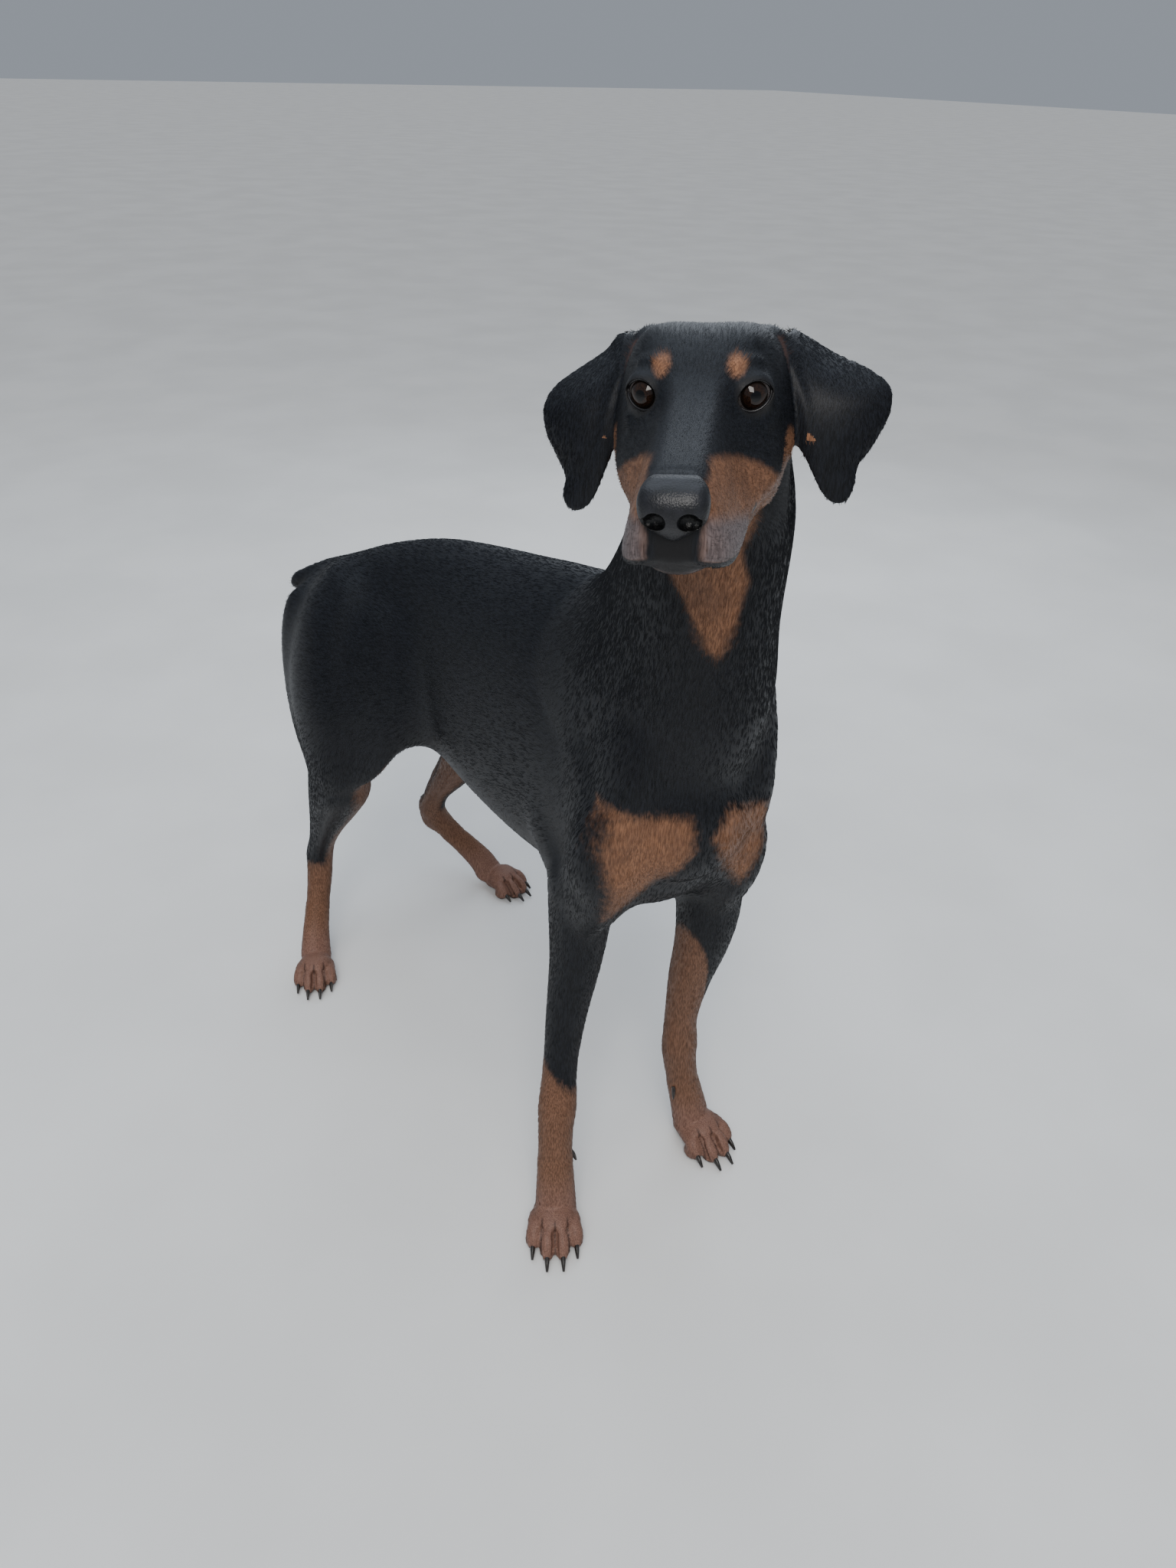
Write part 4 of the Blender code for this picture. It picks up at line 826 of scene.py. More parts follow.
def trimmed(bm, thing, point, normal):
    """Adds the part of a mesh on the near side of a plane."""
    piece = bmesh.new()
    piece.from_mesh(thing.data)
    drop(thing)
    geometry = [*piece.verts, *piece.edges, *piece.faces]
    bmesh.ops.bisect_plane(piece, geom=geometry, plane_co=point, plane_no=normal, clear_outer=True)
    mesh = bpy.data.meshes.new("trimmed")
    piece.to_mesh(mesh)
    piece.free()
    bm.from_mesh(mesh)
    bpy.data.meshes.remove(mesh)


def open_loops(bm):
    """The open edge loops, each as its edges with their middle."""
    left = {edge for edge in bm.edges if edge.is_boundary}
    loops = []
    while left:
        stack = [left.pop()]
        members = []
        while stack:
            edge = stack.pop()
            members.append(edge)
            for vert in edge.verts:
                for other in vert.link_edges:
                    if other in left:
                        left.remove(other)
                        stack.append(other)
        middle = sum((v.co for e in members for v in e.verts), Vector()) / (2 * len(members))
        loops.append((members, middle))
    return loops


def sewn_skin():
    """Body, head and paws in one surface."""
    point, normal = SKULL_CUT
    floor_level = Vector((0, 0, PAW_CUT_HEIGHT))
    up = Vector((0, 0, 1))
    body = body_object()
    bm = bmesh.new()
    bm.from_mesh(body.data)
    drop(body)
    for co, no in ((point - normal * SEAM, normal), (floor_level + up * SEAM, -up)):
        geometry = [*bm.verts, *bm.edges, *bm.faces]
        bmesh.ops.bisect_plane(bm, geom=geometry, plane_co=co, plane_no=no, clear_outer=True)
    trimmed(bm, head_with_ears(), point + normal * SEAM, -normal)
    for leg, side in PAW:
        trimmed(bm, paw_object(leg, side), floor_level - up * SEAM, up)
    loops = open_loops(bm)
    while loops:
        edges, middle = loops.pop()
        partner = min(loops, key=lambda loop: (loop[1] - middle).length)
        loops.remove(partner)
        bmesh.ops.bridge_loops(bm, edges=[*edges, *partner[0]])
    near = [v for v in bm.verts if abs((v.co - point).dot(normal)) < 0.006 or abs(v.co.z - PAW_CUT_HEIGHT) < 0.006]
    for _ in range(12):
        bmesh.ops.smooth_vert(bm, verts=near, factor=0.5, use_axis_x=True, use_axis_y=True, use_axis_z=True)
    for v in bm.verts:
        v.co.z = max(v.co.z, 0.0)
    return to_object(bm, "skin")


def eye_opening(side, deep):
    """A prism of the almond between the lids."""
    rings = []
    for depth in deep:
        ring = []
        for k in range(48):
            turn = 2 * math.pi * k / 48
            c, s = math.cos(turn), math.sin(turn)
            height = LID_HALF_HEIGHT * s * (1.0 - 0.30 * c * c) + side * LID_SLANT * LID_HALF_WIDTH * c
            ring.append(eye_frame(side) @ Vector((LID_HALF_WIDTH * c, depth, height)))
        rings.append(ring)
    return rings


def ball_object(name, frame, radius, rings=32):
    bm = bmesh.new()
    turned = frame @ Matrix.Rotation(math.radians(90), 4, "X")
    bmesh.ops.create_uvsphere(bm, u_segments=2 * rings, v_segments=rings, radius=radius, matrix=turned)
    return to_object(bm, name)


def open_eyes(skin):
    for side in (-1.0, 1.0):
        socket = ball_object("socket", eye_frame(side), EYE_RADIUS + 0.0003)
        cut(skin, socket)
        drop(socket)
        bm = bmesh.new()
        bridge_rings(bm, eye_opening(side, (-0.003, -0.035)))
        almond = to_object(bm, "almond")
        cut(skin, almond)
        drop(almond)
    return skin


def nose_pad():
    place = head_frame()
    bm = bmesh.new()
    rows = [((0, -reach, height), (0, -NOSE_BACK, height), half) for height, reach, half in NOSE]
    loft(bm, rows, sides=48, cap=0.3, square=0.72, place=place)
    nose = soften(fuse(to_object(bm, "nose_pad"), 0.0007), 8)
    for side in (-1.0, 1.0):
        bm = bmesh.new()
        nostril_forms(bm, side, 0.0095)
        hollow = fuse(to_object(bm, "nostril"), 0.0006)
        cut(nose, hollow)
        drop(hollow)
    # Painted shade: depth inside each nostril, which the nose colour turns near black
    points, _ = points_and_normals(nose.data)
    x, y, z = to_head(points).T
    across, up = (np.abs(x) - NOSTRIL.x - 0.0012) / 1.25, z - NOSTRIL.z + 0.0004
    hollow = np.minimum(0.0062 - np.hypot(across, up), y - NOSTRIL.y - 0.0040)
    store(nose.data, {"hollow": hollow})
    return nose


def horn(name, root, tip, radius):
    """A curved claw, round at its root and blunt at its tip."""
    root, tip = Vector(root), Vector(tip)
    middle = root.lerp(tip, 0.55) + Vector((0, 0, 0.0022))
    rows = smooth_rows([(*root, 1.0), (*middle, 0.85), (*tip, 0.38)], 5)
    centres = [Vector(row[:3]) for row in rows]
    bm = bmesh.new()
    rings = []
    for i, row in enumerate(rows):
        ahead = (centres[min(i + 1, len(rows) - 1)] - centres[max(i - 1, 0)]).normalized()
        side = ahead.cross(Vector((0, 0, 1))).normalized()
        up = side.cross(ahead)
        size = radius * row[3]
        turns = [2 * math.pi * k / 14 for k in range(14)]
        rings.append([centres[i] + (side * math.cos(a) * 0.72 + up * math.sin(a)) * size for a in turns])
    bridge_rings(bm, rings)
    return to_object(bm, name)


def claws():
    made = []
    for (leg, side), _ in PAW.items():
        place, size = paw_place(leg, side), PAW_SIZE[leg]
        for number, toe in enumerate(TOES, 1):
            _, _, tip = toe_points(leg, toe)
            root = place @ (tip + Vector((0, 0.004, 0.0010)) * size)
            end = place @ (tip + Vector((toe[0] * 0.06, *CLAW_REACH)) * size)
            made.append((horn(f"horn_{leg}_{side}_{number}", root, end, CLAW_RADIUS * size), f"claw_{leg}_{side}_{number}"))
        if leg == "fore":
            sign = 1.0 if side == "right" else -1.0
            x, y, z = FORELEG[side][7][:3]
            root = Vector((x + sign * 0.0165, y - 0.004, DEWCLAW_HEIGHT))
            tip = root + Vector((sign * 0.0045, -0.006, -0.013))
            made.append((horn(f"horn_{leg}_{side}_5", root, tip, DEWCLAW_RADIUS), f"claw_fore_{side}_5"))
    return made


def place_piece(thing, nodes=()):
    thing.data.transform(Matrix.Translation(SHIFT))
    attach(thing, "root")
    if nodes:
        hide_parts(*nodes)


def smoothstep(low, high, value):
    share = np.clip((value - low) / (high - low), 0.0, 1.0)
    return share * share * (3.0 - 2.0 * share)


def points_and_normals(mesh):
    points = np.empty(len(mesh.vertices) * 3)
    mesh.vertices.foreach_get("co", points)
    normals = np.empty(len(mesh.vertices) * 3)
    mesh.vertex_normals.foreach_get("vector", normals)
    return points.reshape(-1, 3), normals.reshape(-1, 3)


def to_head(points, frame=None):
    """Points in the head's frame, or in another."""
    inverse = np.array((frame or head_frame()).inverted())
    return points @ inverse[:3, :3].T + inverse[:3, 3]


def near_line(points, line):
    """Distance of each point from a line of points, and how far along it the nearest place is."""
    best = np.full(len(points), 1.0)
    along = np.zeros(len(points))
    line = np.array(line)
    for k, (start, end) in enumerate(zip(line, line[1:])):
        edge = end - start
        share = np.clip((points - start) @ edge / (edge @ edge), 0.0, 1.0)
        gap = np.linalg.norm(points - start - share[:, None] * edge, axis=1)
        closer = gap < best
        best[closer] = gap[closer]
        along[closer] = (k + share[closer]) / (len(line) - 1)
    return best, along


def press(thing, line, width, depth, frame=None):
    """Presses a soft groove into the surface along a line in the head's frame, or in another."""
    points, normals = points_and_normals(thing.data)
    gap, along = near_line(to_head(points, frame), line)
    ends = np.clip(6.0 * np.minimum(along, 1.0 - along) + 0.25, 0.0, 1.0)
    deep = depth * ends * np.exp(-((gap / width) ** 2))
    points -= normals * deep[:, None]
    thing.data.vertices.foreach_set("co", points.ravel())
    thing.data.update()


def mouth_line():
    right = [(-x, y, z) for x, y, z in LIPS[:0:-1]]
    return smooth_rows([*right, *LIPS], 4)


def polygon_depth(x, z, corners):
    """How far inside a convex outline a point lies; its corners run anticlockwise."""
    depth = np.full(len(x), 1.0)
    for (ax, az), (bx, bz) in zip(corners, (*corners[1:], corners[0])):
        long = math.hypot(bx - ax, bz - az)
        inside = ((bx - ax) * (z - az) - (bz - az) * (x - ax)) / long
        depth = np.minimum(depth, inside)
    return depth


def head_markings(points):
    """Rust on the muzzle's sides, cheeks, throat and brows, as depth inside the patch."""
    h = to_head(points)
    x, y, z = h.T
    wide = np.abs(x)
    top = np.interp(y, *np.array(RUST_EDGE).T)
    side = np.minimum(top - z, wide - 0.0152 - 0.010 * smoothstep(-0.05, 0.0, y) * (z > -0.04))
    below = smoothstep(-0.058, -0.070, z)
    jaw = np.minimum(y + 0.078, 0.075 - y)
    muzzle = np.where(z > -0.058, side, side * (1 - below) + jaw * below)
    muzzle = np.minimum(muzzle, np.minimum(0.077 - y, z + 0.112))
    under = smoothstep(-0.070, -0.090, z) * smoothstep(0.020, 0.050, y)
    muzzle = muzzle - under * np.maximum(muzzle - (0.036 - wide), 0.0)
    middle, half = (np.interp(z, np.array(THROAT)[:, 0], column) for column in np.array(THROAT).T[1:])
    throat = np.minimum(half - np.abs(x - middle), np.minimum(-0.070 - z, 0.135 - y))
    dx, dy, dz = wide - BROW_SPOT[0], y - BROW_SPOT[1], z - BROW_SPOT[2]
    brow = 0.0060 - np.sqrt((dx / 0.85) ** 2 + (dy / 1.5) ** 2 + (dz / 1.15) ** 2)
    rust = np.maximum(np.maximum(muzzle, throat), brow)
    top = -0.0400 - 0.25 * (y + 0.115)
    front_to_back = np.array(LIPS)[:, 1:]
    parting = np.interp(y, *front_to_back.T)
    chin = np.minimum(parting - 0.0005 - z, -0.050 - y)
    rust = np.minimum(rust, -chin)
    grey = np.minimum(np.minimum(top - z, -0.045 - y), z + 0.085) + 0.003
    on_ear = np.where(z < -0.036, (wide > 0.057) & (y > 0.036), (wide > 0.0545) & (y > 0.047))
    return np.where(on_ear, -1.0, rust), np.where(on_ear, -1.0, grey), h


def leg_markings(points, normals):
    x, y, z = points.T
    fore = y < -0.05
    right = np.where(fore, x < 0.02, x < 0.0)
    inward = np.where(right, normals[:, 0], -normals[:, 0])
    behind = smoothstep(0.55, 1.0, 0.5 * normals[:, 0] + 0.85 * normals[:, 1])
    slanted = 0.186 - 0.017 * (0.8 * normals[:, 0] - 0.6 * normals[:, 1]) + 0.08 * behind
    cap = np.where(right, slanted, 0.262 + 0.080 * inward)
    front = cap - z
    turned = 0.8 * inward - 0.45 * normals[:, 1]
    inner = np.minimum((turned - 0.42) * 0.030, 0.405 - z)
    low = 0.150 - 0.035 * np.clip(normals[:, 1], 0.0, 1.0) - z
    hind = np.maximum(inner, low)
    return np.where(fore, front, np.where(y > 0.04, hind, -1.0))


def markings(points, normals):
    """The coat's marks at each point, each as a depth inside its patch in metres."""
    rust, grey, h = head_markings(points)
    on_head = h[:, 2] > -0.215
    rust = np.where(on_head & (points[:, 2] > 0.70), rust, -1.0)
    for corners in CHEST_PATCHES:
        patch = polygon_depth(points[:, 0], points[:, 2], corners)
        rust = np.maximum(rust, np.minimum(patch, CHEST_LIMIT - points[:, 1]))
    rust = np.maximum(rust, leg_markings(points, normals))
    vent = 0.026 - np.linalg.norm(points - np.array(VENT), axis=1)
    rust = np.maximum(rust, vent)
    grey = np.where(points[:, 2] > 0.70, grey, -1.0)
    lips, _ = near_line(h, mouth_line())
    bare = 0.0026 - lips
    philtrum = np.minimum(0.0100 - np.abs(h[:, 0]), np.minimum(-0.112 - h[:, 1], h[:, 2] + 0.080))
    bare = np.maximum(bare, 0.35 * np.minimum(philtrum, -0.036 - h[:, 2]))
    # Ears' front edges, the inner leather's own colour, and the gaps between the toes, a painted shade in the creases
    fold = np.full(len(points), -1.0)
    for side, word in ((-1.0, "right"), (1.0, "left")):
        edge, along = near_line(h * np.array((side, 1.0, 1.0)), [front for front, _, _ in EARS[word][2:9]])
        fold = np.maximum(fold, np.where(points[:, 2] > 0.80, 0.0050 * (1.0 - 0.6 * along) - edge, -1.0))
        local = to_head(points, eye_frame(side))
        rim = np.hypot(local[:, 0] / (LID_HALF_WIDTH + 0.0018), local[:, 2] / (LID_HALF_HEIGHT + 0.0020))
        bare = np.maximum(bare, np.where(local[:, 1] < 0.0, (1.0 - rim) * 0.008, -1.0))
    bare = np.maximum(bare, 0.0042 - points[:, 2])
    # Painted shade: a dark line along each gap between the toes, where the crease falls in shadow
    low = points[:, 2] < PAW_CUT_HEIGHT
    for leg, side in PAW:
        local = to_head(points[low], paw_place(leg, side))
        for line in toe_gaps(leg):
            gap, _ = near_line(local, line)
            middle = np.interp(-local[:, 1], [-point.y for point in line], [point.x for point in line])
            narrow = np.minimum(0.0021 - np.abs(local[:, 0] - middle), 0.0085 - gap)
            fold[low] = np.maximum(fold[low], narrow)
    paw = smoothstep(0.085, 0.035, points[:, 2])
    # Share of the lower legs, where the coat's rust is darkened as painted shade and the streaks run downwards
    leg = smoothstep(0.46, 0.38, points[:, 2])
    head = smoothstep(0.74, 0.78, points[:, 2])
    down = np.maximum(leg, smoothstep(-0.17, -0.29, points[:, 1]))
    rust = rust * (0.45 + 0.55 * head)
    shares = {"paw": paw, "leg": leg, "head": head, "down": down}
    return {"rust": rust, "grey": grey, "bare": bare, "fold": fold, **shares}


def store(mesh, values):
    for name, value in values.items():
        layer = mesh.attributes.new(name, "FLOAT", "POINT")
        layer.data.foreach_set("value", np.clip(value, -0.05, 1.0).astype(np.float32))


def lie_of_coat(points, h):
    """The way that the hair lies: back along the head, down the neck and legs, back along the trunk."""
    y, z = points[:, 1], points[:, 2]
    back = np.stack([np.full(len(y), -0.05) - 0.25 * y, np.full(len(y), 1.0), np.full(len(y), -0.30)], axis=1)
    down = np.stack([np.full(len(y), 0.10), np.full(len(y), 0.22), np.full(len(y), -1.0)], axis=1)
    neck = np.maximum(smoothstep(-0.17, -0.29, y), smoothstep(0.68, 0.74, z))
    legs = smoothstep(0.50, 0.36, z)
    share = np.maximum(neck, legs)[:, None]
    lie = back * (1 - share) + down * share
    forward = smoothstep(0.075, 0.035, z)[:, None]
    middle = np.where(y < 0.0, -0.29, 0.24)
    ahead = np.stack([np.zeros(len(y)), np.where(y < middle + 0.1, -1.0, -1.0), np.full(len(y), -0.5)], axis=1)
    lie = lie * (1 - forward) + ahead * forward
    frame = np.array(head_frame())[:3, :3]
    along = np.stack([np.zeros(len(y)), np.full(len(y), 1.0), np.full(len(y), -0.25)], axis=1) @ frame.T
    hanging = np.stack([np.sign(h[:, 0]) * 0.25, np.full(len(y), -0.3), np.full(len(y), -1.0)], axis=1) @ frame.T
    ear = smoothstep(0.0535, 0.0560, np.abs(h[:, 0]))[:, None]
    face = (smoothstep(-0.125, -0.085, h[:, 2]) * smoothstep(0.14, 0.09, h[:, 1]) * (z > 0.75))[:, None]
    return lie * (1 - face) + (along * (1 - ear) + hanging * ear) * face


def regions(points, h):
    """Which coat piece each point belongs to."""
    x, y, z = points.T
    ear = (np.abs(h[:, 0]) > 0.0548) & (h[:, 1] > 0.040) & (h[:, 2] > -0.09) & (z > 0.8)
    skull = (h[:, 2] > -0.095) & (h[:, 1] < 0.115) & (z > 0.80)
    neck = (z > 0.66) & (y < -0.20)
    limb = (z < 0.40) & ((y < -0.16) | (y > 0.06))
    found = np.full(len(points), "torso", dtype=object)
    found[neck] = "neck"
    found[skull] = "head"
    found[ear] = "ears"
    found[limb & (y < 0.0)] = "forelegs"
    found[limb & (y > 0.0)] = "hindlegs"
    return found


def around(a, b):
    return np.arctan2(a, b) / (2 * math.pi) + 0.5


def leg_axis(z, tables):
    rows = np.array([row[:3] for row in tables])[::-1]
    return np.interp(z, rows[:, 2], rows[:, 0]), np.interp(z, rows[:, 2], rows[:, 1])


def unwrap(region, points, normals, h):
    """Each point's place on a flat sheet wrapped round its part of the dog."""
    x, y, z = points.T
    if region == "head":
        return np.stack([around(h[:, 0], h[:, 2] + 0.030), (h[:, 1] + 0.14) / 0.27], axis=1)
    if region == "ears":
        swell = np.array(EAR_SWELL)
        swell = swell / np.linalg.norm(swell)
        local = to_head(normals, head_frame().to_3x3().to_4x4())
        outside = (np.sign(h[:, 0]) * local[:, 0] * swell[0] + local[:, 1] * swell[1] + local[:, 2] * swell[2]) > 0
        tile = 2 * (h[:, 0] > 0) + outside
        return np.stack([(tile + (np.abs(h[:, 0]) - 0.05) / 0.07 * 0.92 + 0.04) / 4, (h[:, 2] + 0.095) / 0.13], axis=1)
    if region == "neck":
        nape = np.array([row[0] for row in NECK])
        throat = np.array([row[1] for row in NECK])
        axis = ((nape + throat) / 2)[::-1]
        cx, cy = np.interp(z, axis[:, 2], axis[:, 0]), np.interp(z, axis[:, 2], axis[:, 1])
        return np.stack([around(x - cx, y - cy), (z - 0.62) / 0.32], axis=1)
    if region == "torso":
        rows = np.array(TORSO)
        cx = np.interp(y, rows[:, 0], rows[:, 1])
        cz = np.interp(y, rows[:, 0], (rows[:, 2] + rows[:, 3]) / 2)
        return np.stack([around(x - cx, z - cz), (y + 0.42) / 0.78], axis=1)
    table = FORELEG if region == "forelegs" else SHANK
    middle = 0.02 if region == "forelegs" else 0.0
    right = x < middle
    uv = np.empty((len(x), 2))
    for tile, side in enumerate(("right", "left")):
        mine = right == (side == "right")
        cx, cy = leg_axis(z[mine], table[side])
        uv[mine, 0] = (tile + 0.04 + 0.92 * around(x[mine] - cx, y[mine] - cy)) / 2
        uv[mine, 1] = z[mine] / 0.45
    return uv


def coat_pieces(skin, look):
    """Short tufts over the whole skin, in pieces of joined mesh."""
    rng = np.random.default_rng(11)
    mesh = skin.data
    mesh.calc_loop_triangles()
    count = len(mesh.loop_triangles)
    corners = np.empty(count * 3, int)
    mesh.loop_triangles.foreach_get("vertices", corners)
    corners = corners.reshape(-1, 3)
    points, normals = points_and_normals(mesh)
    a, b, c = points[corners[:, 0]], points[corners[:, 1]], points[corners[:, 2]]
    area = 0.5 * np.linalg.norm(np.cross(b - a, c - a), axis=1)
    middle = (a + b + c) / 3
    home = regions(middle, to_head(middle))
    made = []
    for region, (tufts, length, width, lift) in COAT.items():
        mine = np.flatnonzero(home == region)
        share = area[mine] / area[mine].sum()
        chosen = mine[rng.choice(len(mine), tufts, p=share)]
        u, v = rng.random(tufts), rng.random(tufts)
        flip = u + v > 1
        u[flip], v[flip] = 1 - u[flip], 1 - v[flip]
        weights = np.stack([1 - u - v, u, v], axis=1)[:, :, None]
        roots = (points[corners[chosen]] * weights).sum(axis=1)
        up = (normals[corners[chosen]] * weights).sum(axis=1)
        up /= np.linalg.norm(up, axis=1)[:, None]
        marks = markings(roots, up)
        keep = marks["bare"] < -0.0012
        roots, up = roots[keep], up[keep]
        marks = {name: value[keep] for name, value in marks.items()}
        number = len(roots)
        h = to_head(roots)
        lie = lie_of_coat(roots, h) + rng.normal(0.0, 0.05 if region == "ears" else 0.08, (number, 3))
        under = smoothstep(-0.35, -0.80, up[:, 2])[:, None]
        lie = lie * (1 - under) + np.array((0.0, 1.0, 0.0)) * under
        lie -= (lie * up).sum(axis=1)[:, None] * up
        lie /= np.linalg.norm(lie, axis=1)[:, None] + 1e-9
        across = np.cross(lie, up)
        size = rng.uniform(0.75, 1.2, number)
        if region == "head":
            size *= 0.55 + 0.75 * smoothstep(-0.11, 0.05, h[:, 1])
        if region in ("forelegs", "hindlegs"):
            size *= 0.6 + 0.4 * smoothstep(0.05, 0.14, roots[:, 2])
        long = (length * size)[:, None]
        half = (width * 0.5 * (0.6 + 0.4 * size))[:, None]
        rise = np.radians(rng.uniform(0.6, 1.3, number) * lift)[:, None]
        bed = roots - up * 0.0003
        tip = roots + lie * long * np.cos(rise) + up * long * np.sin(rise)
        crest = roots + lie * long * 0.30 + up * (0.00018 + long * 0.020)
        vertices = np.stack([bed - across * half, bed + across * half, crest, tip], axis=1).reshape(-1, 3)
        first = 4 * np.arange(number)[:, None]
        faces = np.concatenate([first + f for f in ((0, 1, 2), (0, 2, 3), (2, 1, 3), (1, 0, 3))], axis=1).reshape(-1, 3)
        made.append(tuft_object(f"coat_{region}", vertices, faces, up, marks, unwrap(region, roots, up, h), look))
    return made


def tuft_object(name, vertices, faces, up, marks, places, look):
    mesh = bpy.data.meshes.new(name)
    mesh.vertices.add(len(vertices))
    mesh.vertices.foreach_set("co", vertices.ravel())
    mesh.loops.add(len(faces) * 3)
    mesh.loops.foreach_set("vertex_index", faces.ravel())
    mesh.polygons.add(len(faces))
    mesh.polygons.foreach_set("loop_start", 3 * np.arange(len(faces)))
    mesh.update(calc_edges=True)
    mesh.shade_smooth()
    store(mesh, {mark: np.repeat(value, 4) for mark, value in marks.items()})
    patch = np.array([(-0.0015, -0.0015), (0.0015, -0.0015), (0.0, 0.0), (0.0, 0.0015)])
    spread = (np.clip(places, 0.002, 0.998)[:, None, :] + patch).reshape(-1, 2)
    layer = mesh.uv_layers.new(name="OFBake")
    layer.data.foreach_set("uv", spread[faces.ravel()].astype(np.float32).ravel())
    mesh.normals_split_custom_set_from_vertices(np.repeat(up, 4, axis=0))
    mesh.materials.append(look)
    coat = bpy.data.objects.new(name, mesh)
    bpy.context.scene.collection.objects.link(coat)
    return coat


class Nodes:
    """A short way to lay out a material's nodes."""

    def __init__(self, name):
        self.material = bpy.data.materials.new(name)
        self.material.use_nodes = True
        self.tree = self.material.node_tree
        self.shader = self.tree.nodes["Principled BSDF"]

    def node(self, kind, links=(), **settings):
        made = self.tree.nodes.new(kind)
        for key, value in settings.items():
            if key.startswith("in_"):
                made.inputs[int(key[3:])].default_value = value
            else:
                setattr(made, key, value)
        for index, source in links:
            self.tree.links.new(source, made.inputs[index])
        return made

    def attribute(self, name):
        return self.node("ShaderNodeAttribute", attribute_name=name).outputs["Fac"]

    def math(self, operation, first, second):
        made = self.node("ShaderNodeMath", operation=operation)
        for index, value in enumerate((first, second)):
            if isinstance(value, (int, float)):
                made.inputs[index].default_value = value
            else:
                self.tree.links.new(value, made.inputs[index])
        return made.outputs[0]

    def step(self, value, low, high):
        made = self.node("ShaderNodeMapRange", [(0, value)], in_1=low, in_2=high, interpolation_type="SMOOTHSTEP")
        return made.outputs[0]

    def mix(self, share, first, second):
        made = self.node("ShaderNodeMix", data_type="RGBA")
        for index, value in ((0, share), (6, first), (7, second)):
            if isinstance(value, float):
                made.inputs[index].default_value = value
            elif isinstance(value, tuple):
                made.inputs[index].default_value = (*value, 1.0)
            else:
                self.tree.links.new(value, made.inputs[index])
        return made.outputs[2]

    def noise(self, scales, detail=2.0, size=1.0, roughness=0.5):
        """Noise on the object's own coordinates, stretched by a scale per axis."""
        place = self.node("ShaderNodeTexCoord").outputs["Object"]
        stretched = self.node("ShaderNodeMapping", [(0, place)])
        stretched.inputs["Scale"].default_value = scales
        made = self.node("ShaderNodeTexNoise", [(0, stretched.outputs[0])])
        made.inputs["Scale"].default_value = size
        made.inputs["Detail"].default_value = detail
        made.inputs["Roughness"].default_value = roughness
        return made.outputs["Fac"]

    def bump(self, height, strength, distance):
        made = self.node("ShaderNodeBump")
        made.inputs["Strength"].default_value = strength
        made.inputs["Distance"].default_value = distance
        self.tree.links.new(height, made.inputs["Height"])
        self.tree.links.new(made.outputs[0], self.shader.inputs["Normal"])


def coat_material(name):
    n = Nodes(name)
    leg = n.attribute("leg")
    along_back = n.noise((950.0, 110.0, 800.0))
    along_leg = n.noise((950.0, 950.0, 110.0))
    streak = n.node("ShaderNodeMix", [(0, n.attribute("down")), (2, along_back), (3, along_leg)]).outputs[0]
    patchy = n.noise((38.0, 30.0, 38.0), detail=3.0)
    ragged = n.math("MULTIPLY", n.math("SUBTRACT", n.noise((260.0, 200.0, 150.0), detail=3.0), 0.5), 0.006)
    ragged = n.math("MULTIPLY", ragged, n.math("SUBTRACT", 1.0, n.math("MULTIPLY", n.attribute("head"), 0.40)))
    black = n.mix(n.step(streak, 0.35, 0.68), (0.0030, 0.0034, 0.0046), (0.0075, 0.0088, 0.0125))
    rust = n.mix(n.step(streak, 0.30, 0.70), (0.120, 0.053, 0.027), (0.250, 0.120, 0.063))
    rust = n.mix(n.math("MULTIPLY", n.step(patchy, 0.35, 0.7), 0.5), rust, (0.105, 0.052, 0.032))
    # Painted shade: the lower legs' rust is mixed to a darker tone than elsewhere on the coat
    shaded_leg_rust = n.mix(n.step(streak, 0.30, 0.70), (0.088, 0.042, 0.024), (0.180, 0.090, 0.054))
    rust = n.mix(leg, rust, shaded_leg_rust)
    pale = n.mix(n.step(streak, 0.30, 0.70), (0.120, 0.062, 0.045), (0.225, 0.122, 0.090))
    rust = n.mix(n.attribute("paw"), rust, pale)
    in_rust = n.step(n.math("ADD", n.attribute("rust"), ragged), -0.0032, 0.0036)
    colour = n.mix(in_rust, black, rust)
    greyish = n.mix(n.step(streak, 0.3, 0.7), (0.075, 0.060, 0.062), (0.150, 0.122, 0.124))
    in_grey = n.step(n.math("ADD", n.attribute("grey"), ragged), -0.003, 0.008)
    colour = n.mix(n.math("MULTIPLY", n.math("MULTIPLY", in_grey, in_rust), 0.92), colour, greyish)
    # Dark brown along the ears' front edges is the inner leather's own colour; in the gaps between the toes it is
    # painted shade
    in_ear_edge_and_toe_shade = n.step(n.attribute("fold"), 0.0, 0.0022)
    colour = n.mix(n.math("MULTIPLY", in_ear_edge_and_toe_shade, 0.85), colour, (0.040, 0.021, 0.017))
    in_bare = n.step(n.math("ADD", n.attribute("bare"), n.math("MULTIPLY", ragged, 0.15)), -0.0010, 0.0010)
    colour = n.mix(in_bare, colour, (0.0075, 0.0072, 0.0078))
    n.tree.links.new(colour, n.shader.inputs["Base Color"])
    n.shader.inputs["Roughness"].default_value = 0.49
    n.shader.inputs["Specular IOR Level"].default_value = 0.24
    n.bump(streak, 0.30, 0.0006)
    return n.material


